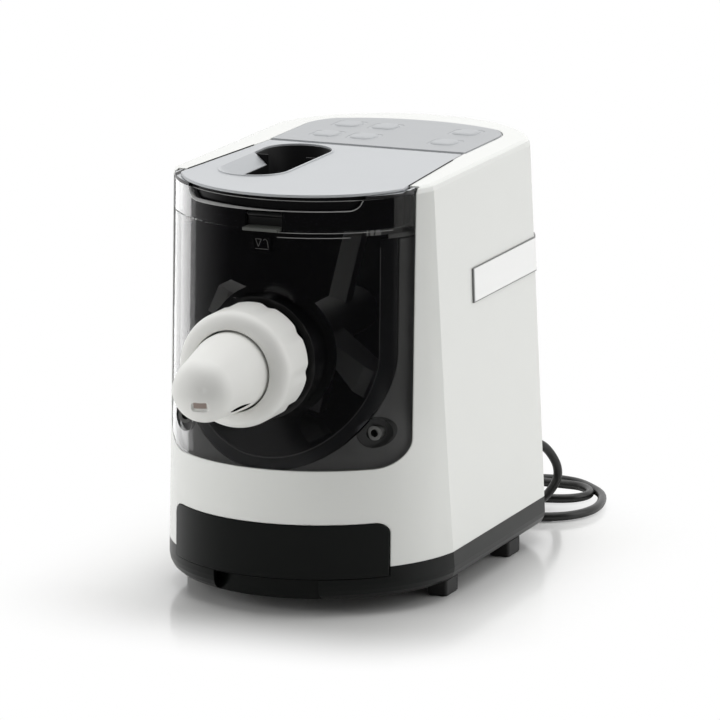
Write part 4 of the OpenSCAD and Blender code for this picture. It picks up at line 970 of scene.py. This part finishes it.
def plug_body(bm):
    """Flat two-pin plug body with grip ribs, and the sleeves at the roots of its pins."""
    parts = [(2.5, 10.5, 10.0, 2.1), (1.0, 14.5, 12.2, 2.3), (-2.0, 22.0, 13.4, 2.6),
             (-6.0, 30.0, 13.9, 3.2), (-11.0, 33.6, 14.0, 3.8), (-15.0, 33.9, 14.0, 4.0)]
    parts += [(-16.0 - 0.7 * k, *((33.2, 14.0) if k % 4 in (1, 2) else (32.0, 13.4)), 4.0)
              for k in range(21)]
    parts += [(-31.5, 33.9, 14.0, 4.4), (-35.0, 33.8, 14.0, 4.6), (-35.8, 33.2, 13.4, 4.6),
              (-36, 32.2, 12.4, 4.4)]
    joined(bm, [[(PLUG_X + x, PLUG_Y + u, PLUG_H / 2 + 0.1 + v) for u, v in oval(w, h, power, 40)]
                for x, w, h, power in parts])
    for side in (-1, 1):
        swept(bm, [(x * MM, (PLUG_Y + side * PIN_OUT) * MM, (PLUG_H / 2 + 0.1) * MM)
                   for x in (PLUG_X - 35.5, PLUG_X - 45.5)], 2.05 * MM, 24)


def plug_pins(bm):
    for side in (-1, 1):
        y, z = (PLUG_Y + side * PIN_OUT) * MM, (PLUG_H / 2 + 0.1) * MM
        ends = [(-45.4, 2.2), (-53.0, 2.2)] + [(-53.0 - 1.9 * math.sin(a), 2.2 * math.cos(a))
                                               for a in (math.radians(t) for t in (20, 40, 60, 76))]
        swept(bm, [((PLUG_X + x) * MM, y, z) for x, _ in ends], [r * MM for _, r in ends], 24)


def lead_collar(bm):
    """The round root of the strain relief, where it leaves the housing."""
    rings = ((194.8, 7.0), (205.6, 7.0), (206.2, 6.6), (206.4, 6.0))
    swept(bm, [(EXIT_X * MM, y * MM, EXIT_Z * MM) for y, _ in rings], [r * MM for _, r in rings], 32)


def sleeve(name, points, root, tip, ribs):
    """A tapered, ribbed sleeve along a path."""
    recipe = Recipe(name, Root=root * MM, Tip=tip * MM, Ribs=ribs, Groove=0.55 * MM)
    line = recipe.node("GeometryNodeMeshToCurve", {}, recipe.size("Points"))
    line = recipe.node("GeometryNodeResampleCurve", {}, Curve=line, Count=ribs * 10 + 1)
    share = recipe.node("GeometryNodeSplineParameter")
    wave = (share * recipe.size("Ribs") * (2 * math.pi)).sine()
    radius = recipe.size("Root") + (recipe.size("Tip") - recipe.size("Root")) * share \
        - (wave > 0.2) * recipe.size("Groove") * (share > 0.1)
    circle = recipe.node("GeometryNodeCurvePrimitiveCircle", {}, Resolution=28, Radius=1.0)
    tube = recipe.node("GeometryNodeCurveToMesh", {}, line, circle, radius, True)
    return recipe.grow(tube, points, "lead_black", "cord_black",
                       [(k, k + 1) for k in range(len(points) - 1)])


class PASTA_OT_lead(bpy.types.Operator):
    """Mains lead with its strain relief, coil, tie and plug"""
    bl_idname = "pasta.lead"
    bl_label = "Mains Lead"

    def execute(self, context):
        path = lead_path()
        length = sum((b - a).length for a, b in zip(path, path[1:]))
        root = [Vector((EXIT_X, y, EXIT_Z)) * MM for y in (202, 205, 208, 211)]
        relief = sleeve("lead_relief", root + path[:20], 6.6, 4.1, 9)
        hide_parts("cord_gland")
        piece("lead_collar", lead_collar, "lead_black", smooth=40)
        tie = piece("lead_tie", coil_tie, "rubber", smooth=40)
        body = piece("plug_body", plug_body, "lead_black", smooth=40)
        pins = piece("plug_pins", plug_pins, "nickel", smooth=40)
        tail = sleeve("plug_sleeve", list(reversed(path[-7:])), 5.6, 3.9, 5)
        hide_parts("plug")
        lead = piece("mains_lead", lambda bm: swept(bm, path, LEAD_R * MM, 18), "lead_black",
                     smooth=60)
        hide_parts("cord", "cord_coil")
        return {"FINISHED"}


# ---- vents and screws ----

class PASTA_OT_louvres(bpy.types.Operator):
    """Slats behind the rear air slots"""
    bl_idname = "pasta.louvres"
    bl_label = "Louvres"

    def execute(self, context):
        recipe = Recipe("vent_louvres", Count=8, Pitch=5 * MM, Lean=-REAR_LEAN * 5 * MM, Deep=3 * MM,
                        Thick=0.9 * MM)
        line = recipe.node("GeometryNodeMeshToCurve", {}, recipe.size("Points"))
        flat = recipe.node("GeometryNodeCurvePrimitiveQuadrilateral", {}, Width=recipe.size("Thick"),
                           Height=recipe.size("Deep"))
        slat = recipe.node("GeometryNodeCurveToMesh", {}, line, flat, Fill_Caps=True)
        shift = recipe.node("ShaderNodeCombineXYZ", {}, 0.0, recipe.size("Lean"), recipe.size("Pitch"))
        rows = recipe.node("GeometryNodeMeshLine", {}, Count=recipe.size("Count"), Offset=shift)
        stack = recipe.node("GeometryNodeInstanceOnPoints", {}, rows, Instance=slat)
        arc = [Vector((x, rear_at(x, 83, 4.3), 83)) * MM for x in range(-52, 53, 4)]
        recipe.grow(stack, arc, "works_grey", "inner_grey",
                    [(k, k + 1) for k in range(len(arc) - 1)])
        return {"FINISHED"}


class PASTA_OT_screws(bpy.types.Operator):
    """Cross-head screws that hold the base from below"""
    bl_idname = "pasta.screws"
    bl_label = "Base Screws"

    def execute(self, context):
        recipe = Recipe("base_screws", Head=3.3 * MM, Tall=1.3 * MM, Slot=0.9 * MM)
        head = recipe.node("GeometryNodeMeshCone", {}, Vertices=28, Radius_Top=recipe.size("Head"),
                           Radius_Bottom=recipe.size("Head") * 0.82, Depth=recipe.size("Tall"))
        for wide, long in (("Slot", "Head"), ("Head", "Slot")):
            size = recipe.node("ShaderNodeCombineXYZ", {}, recipe.size(wide), recipe.size(long),
                               recipe.size("Tall"))
            cube = recipe.node("GeometryNodeMeshCube", {}, Size=size)
            cube = recipe.node("GeometryNodeTransform", {}, cube, Translation=(0, 0, -0.0004))
            head = recipe.node("GeometryNodeMeshBoolean", {"operation": "DIFFERENCE"}, head, cube)
        places = [(x * MM, y * MM, 10.3 * MM) for x, y in
                  ((-62, -60), (62, -60), (-70, 60), (70, 60), (-50, 186), (50, 186))]
        set_out = recipe.node("GeometryNodeInstanceOnPoints", {}, recipe.size("Points"), Instance=head)
        recipe.grow(set_out, places, "zinc", "steel_screws", smooth=30)
        return {"FINISHED"}


# ---- camera and studio ----

VIEW_YAW, VIEW_RISE, VIEW_FROM = math.radians(22.46), math.radians(12.5), 4.4625
VIEW_SIDE, VIEW_AHEAD = math.sin(VIEW_YAW), math.cos(VIEW_YAW)


class PASTA_OT_camera(bpy.types.Operator):
    """Camera at a low three-quarter view from the front right"""
    bl_idname = "pasta.camera"
    bl_label = "Camera"

    def execute(self, context):
        level = math.cos(VIEW_RISE)
        back = Vector((VIEW_SIDE * level, -VIEW_AHEAD * level, math.sin(VIEW_RISE)))
        data = bpy.data.cameras.new("view")
        data.sensor_width, data.lens = 36, 323.3
        data.clip_start, data.clip_end = 0.1, 60
        camera = bpy.data.objects.new("view", data)
        camera.location = Vector((0.000294, 0.0624, 0.14028)) + back * VIEW_FROM
        camera.rotation_euler = (math.pi / 2 - VIEW_RISE, 0, VIEW_YAW)
        context.scene.collection.objects.link(camera)
        context.scene.camera = camera
        return {"FINISHED"}


def softbox(name, place, aim, size, power):
    """A lamp that the camera doesn't see."""
    data = bpy.data.lights.new(name, "AREA")
    data.shape, data.size, data.size_y = "RECTANGLE", *size
    data.energy = power
    lamp = bpy.data.objects.new(name, data)
    lamp.location = place
    lamp.visible_camera = False
    lamp.rotation_euler = (Vector(aim) - Vector(place)).to_track_quat("-Z", "Y").to_euler()
    bpy.context.scene.collection.objects.link(lamp)
    return lamp


def stage_sheet(name, corners, material):
    """A flat sheet that belongs to the studio."""
    mesh = bpy.data.meshes.new(name)
    mesh.from_pydata(corners, [], [(0, 1, 2, 3)])
    obj = bpy.data.objects.new(name, mesh)
    bpy.context.scene.collection.objects.link(obj)
    mesh.materials.append(material)


class PASTA_OT_studio(bpy.types.Operator):
    """Pale floor, white surroundings and soft lamps"""
    bl_idname = "pasta.studio"
    bl_label = "Studio"

    def execute(self, context):
        studio = context.scene.pasta_studio
        world = bpy.data.worlds.new("surroundings")
        context.scene.world = world
        world.use_nodes = True
        sheet = NodeSheet(world.node_tree)
        seen = sheet.node("ShaderNodeLightPath")
        way = sheet.node("ShaderNodeTexCoord")
        level = way.along((-VIEW_SIDE, VIEW_AHEAD, 0)).eased(-0.3, 0.6, studio.front_fill,
                                                              studio.rear_fill)
        lit = sheet.node("ShaderNodeBackground", {}, (1, 1, 1), level + seen * (1 - level))
        sheet.node("ShaderNodeOutputWorld", {}, lit)

        floor = Finish("floor_white", Roughness=0.13, IOR=1.5)
        floor.set(Base_Color=(0.93, 0.93, 0.92))
        x, y, _ = floor.axes()
        out_x = (x.size() - 0.07).at_least(0.0)
        out_y = ((y - 0.04).size() - 0.12).at_least(0.0)
        far = ((out_x * out_x + out_y * out_y) ** 0.5).eased(studio.fade_from, studio.fade_to)
        camera_ray = floor.node("ShaderNodeLightPath")
        glow = floor.node("ShaderNodeEmission", {}, (1, 1, 1), 1.0)
        blend = floor.node("ShaderNodeMixShader", {}, far * camera_ray,
                           Wire(floor, floor.shader.outputs[0]), glow)
        floor.put(floor.output.inputs[0], blend)
        wide, near, deep = 0.66, 0.66, 4.0
        across, ahead = Vector((VIEW_AHEAD, VIEW_SIDE, 0)), Vector((-VIEW_SIDE, VIEW_AHEAD, 0))
        stage_sheet("floor", [across * sx * wide + ahead * sy
                              for sx, sy in ((-1, -near), (1, -near), (1, deep), (-1, deep))],
                    floor.material)
        softbox("overhead", (0.1, 0.35, 2.2), (0, 0.05, 0), (2.4, 2.4), studio.overhead)
        softbox("right", (2.0, 0.5, 1.0), (0, 0.05, 0.15), (1.6, 1.8), studio.right)
        shine = softbox("left_shine", (-0.36, 0.114, 0.305), (0.0, 0.248, 0.305), (0.34, 0.6), studio.left)
        shine.visible_diffuse = False
        window = bpy.data.collections.new("window")
        for node in ("front_panel", "lid_skirt"):
            window.objects.link(NODES[node])
        shine.light_linking.receiver_collection = window
        fill = softbox("front_fill", (-1.7, -2.0, 1.0), (0, 0, 0.12), (2.4, 2.0), studio.front)
        fill.visible_glossy = False
        return {"FINISHED"}


class PASTA_OT_finishes(bpy.types.Operator):
    """Finishes of every moulded, metal and rubber part"""
    bl_idname = "pasta.finishes"
    bl_label = "Finishes"

    def execute(self, context):
        make_finishes(context.scene.pasta_look)
        return {"FINISHED"}


# ---- settings and panel ----

class PastaLook(bpy.types.PropertyGroup):
    shell_colour: FloatVectorProperty(name="Shell", description="Colour of the glossy shell",
                                      default=(0.85, 0.86, 0.83), subtype="COLOR", min=0, max=1)
    nozzle_colour: FloatVectorProperty(name="Nozzle", description="Colour of the ring and hood",
                                       default=(0.85, 0.85, 0.82), subtype="COLOR", min=0, max=1)
    lid_colour: FloatVectorProperty(name="Lid", description="Colour of the lid plate and control panel",
                                    default=(0.54, 0.557, 0.574), subtype="COLOR", min=0, max=1)
    smoke_density: FloatProperty(name="Smoke", description="How dark the smoked panels are",
                                 default=0.45, min=0, max=1, subtype="FACTOR")


class PastaStudio(bpy.types.PropertyGroup):
    rear_fill: FloatProperty(name="Rear fill", description="Light from behind and above", default=1.0,
                             min=0, max=4)
    front_fill: FloatProperty(name="Front fill", description="Light from the camera's side",
                              default=0.12, min=0, max=4)
    overhead: FloatProperty(name="Overhead", description="Power of the overhead lamp", default=25,
                            min=0, unit="POWER")
    left: FloatProperty(name="Left", description="Power of the lamp that only shows in the gloss",
                        default=4.0, min=0, unit="POWER")
    front: FloatProperty(name="Front", description="Power of the front lamp, which no gloss shows",
                         default=27, min=0, unit="POWER")
    right: FloatProperty(name="Right", description="Power of the right lamp", default=15, min=0,
                         unit="POWER")
    fade_from: FloatProperty(name="Fade from", description="Where the floor starts to fade to white",
                             default=0.03, min=0, unit="LENGTH")
    fade_to: FloatProperty(name="Fade to", description="Where the floor is plain white", default=0.15,
                           min=0, unit="LENGTH")


ORDER = ("camera", "finishes", "lead", "nozzle", "keys", "trims", "louvres", "screws", "studio")


class PASTA_PT_sidebar(bpy.types.Panel):
    """Lists the pasta maker's pieces and settings"""
    bl_label = "Pasta Maker"
    bl_idname = "PASTA_PT_sidebar"
    bl_space_type, bl_region_type, bl_category = "VIEW_3D", "UI", "Pasta Maker"

    def draw(self, context):
        for name in ORDER:
            self.layout.operator("pasta." + name)
        for group in (context.scene.pasta_look, context.scene.pasta_studio):
            for key in group.__annotations__:
                self.layout.prop(group, key)


CLASSES = (PastaLook, PastaStudio, PASTA_OT_camera, PASTA_OT_finishes, PASTA_OT_lead,
           PASTA_OT_nozzle, PASTA_OT_keys, PASTA_OT_trims, PASTA_OT_louvres, PASTA_OT_screws,
           PASTA_OT_studio, PASTA_PT_sidebar)


def register():
    for kind in CLASSES:
        bpy.utils.register_class(kind)
    bpy.types.Scene.pasta_look = PointerProperty(type=PastaLook)
    bpy.types.Scene.pasta_studio = PointerProperty(type=PastaStudio)


def unregister():
    del bpy.types.Scene.pasta_studio
    del bpy.types.Scene.pasta_look
    for kind in reversed(CLASSES):
        bpy.utils.unregister_class(kind)


def main():
    register()
    bpy.context.scene.view_settings.view_transform = "Standard"
    for name in ORDER:
        getattr(bpy.ops.pasta, name)()


if __name__ == "__main__":
    main()
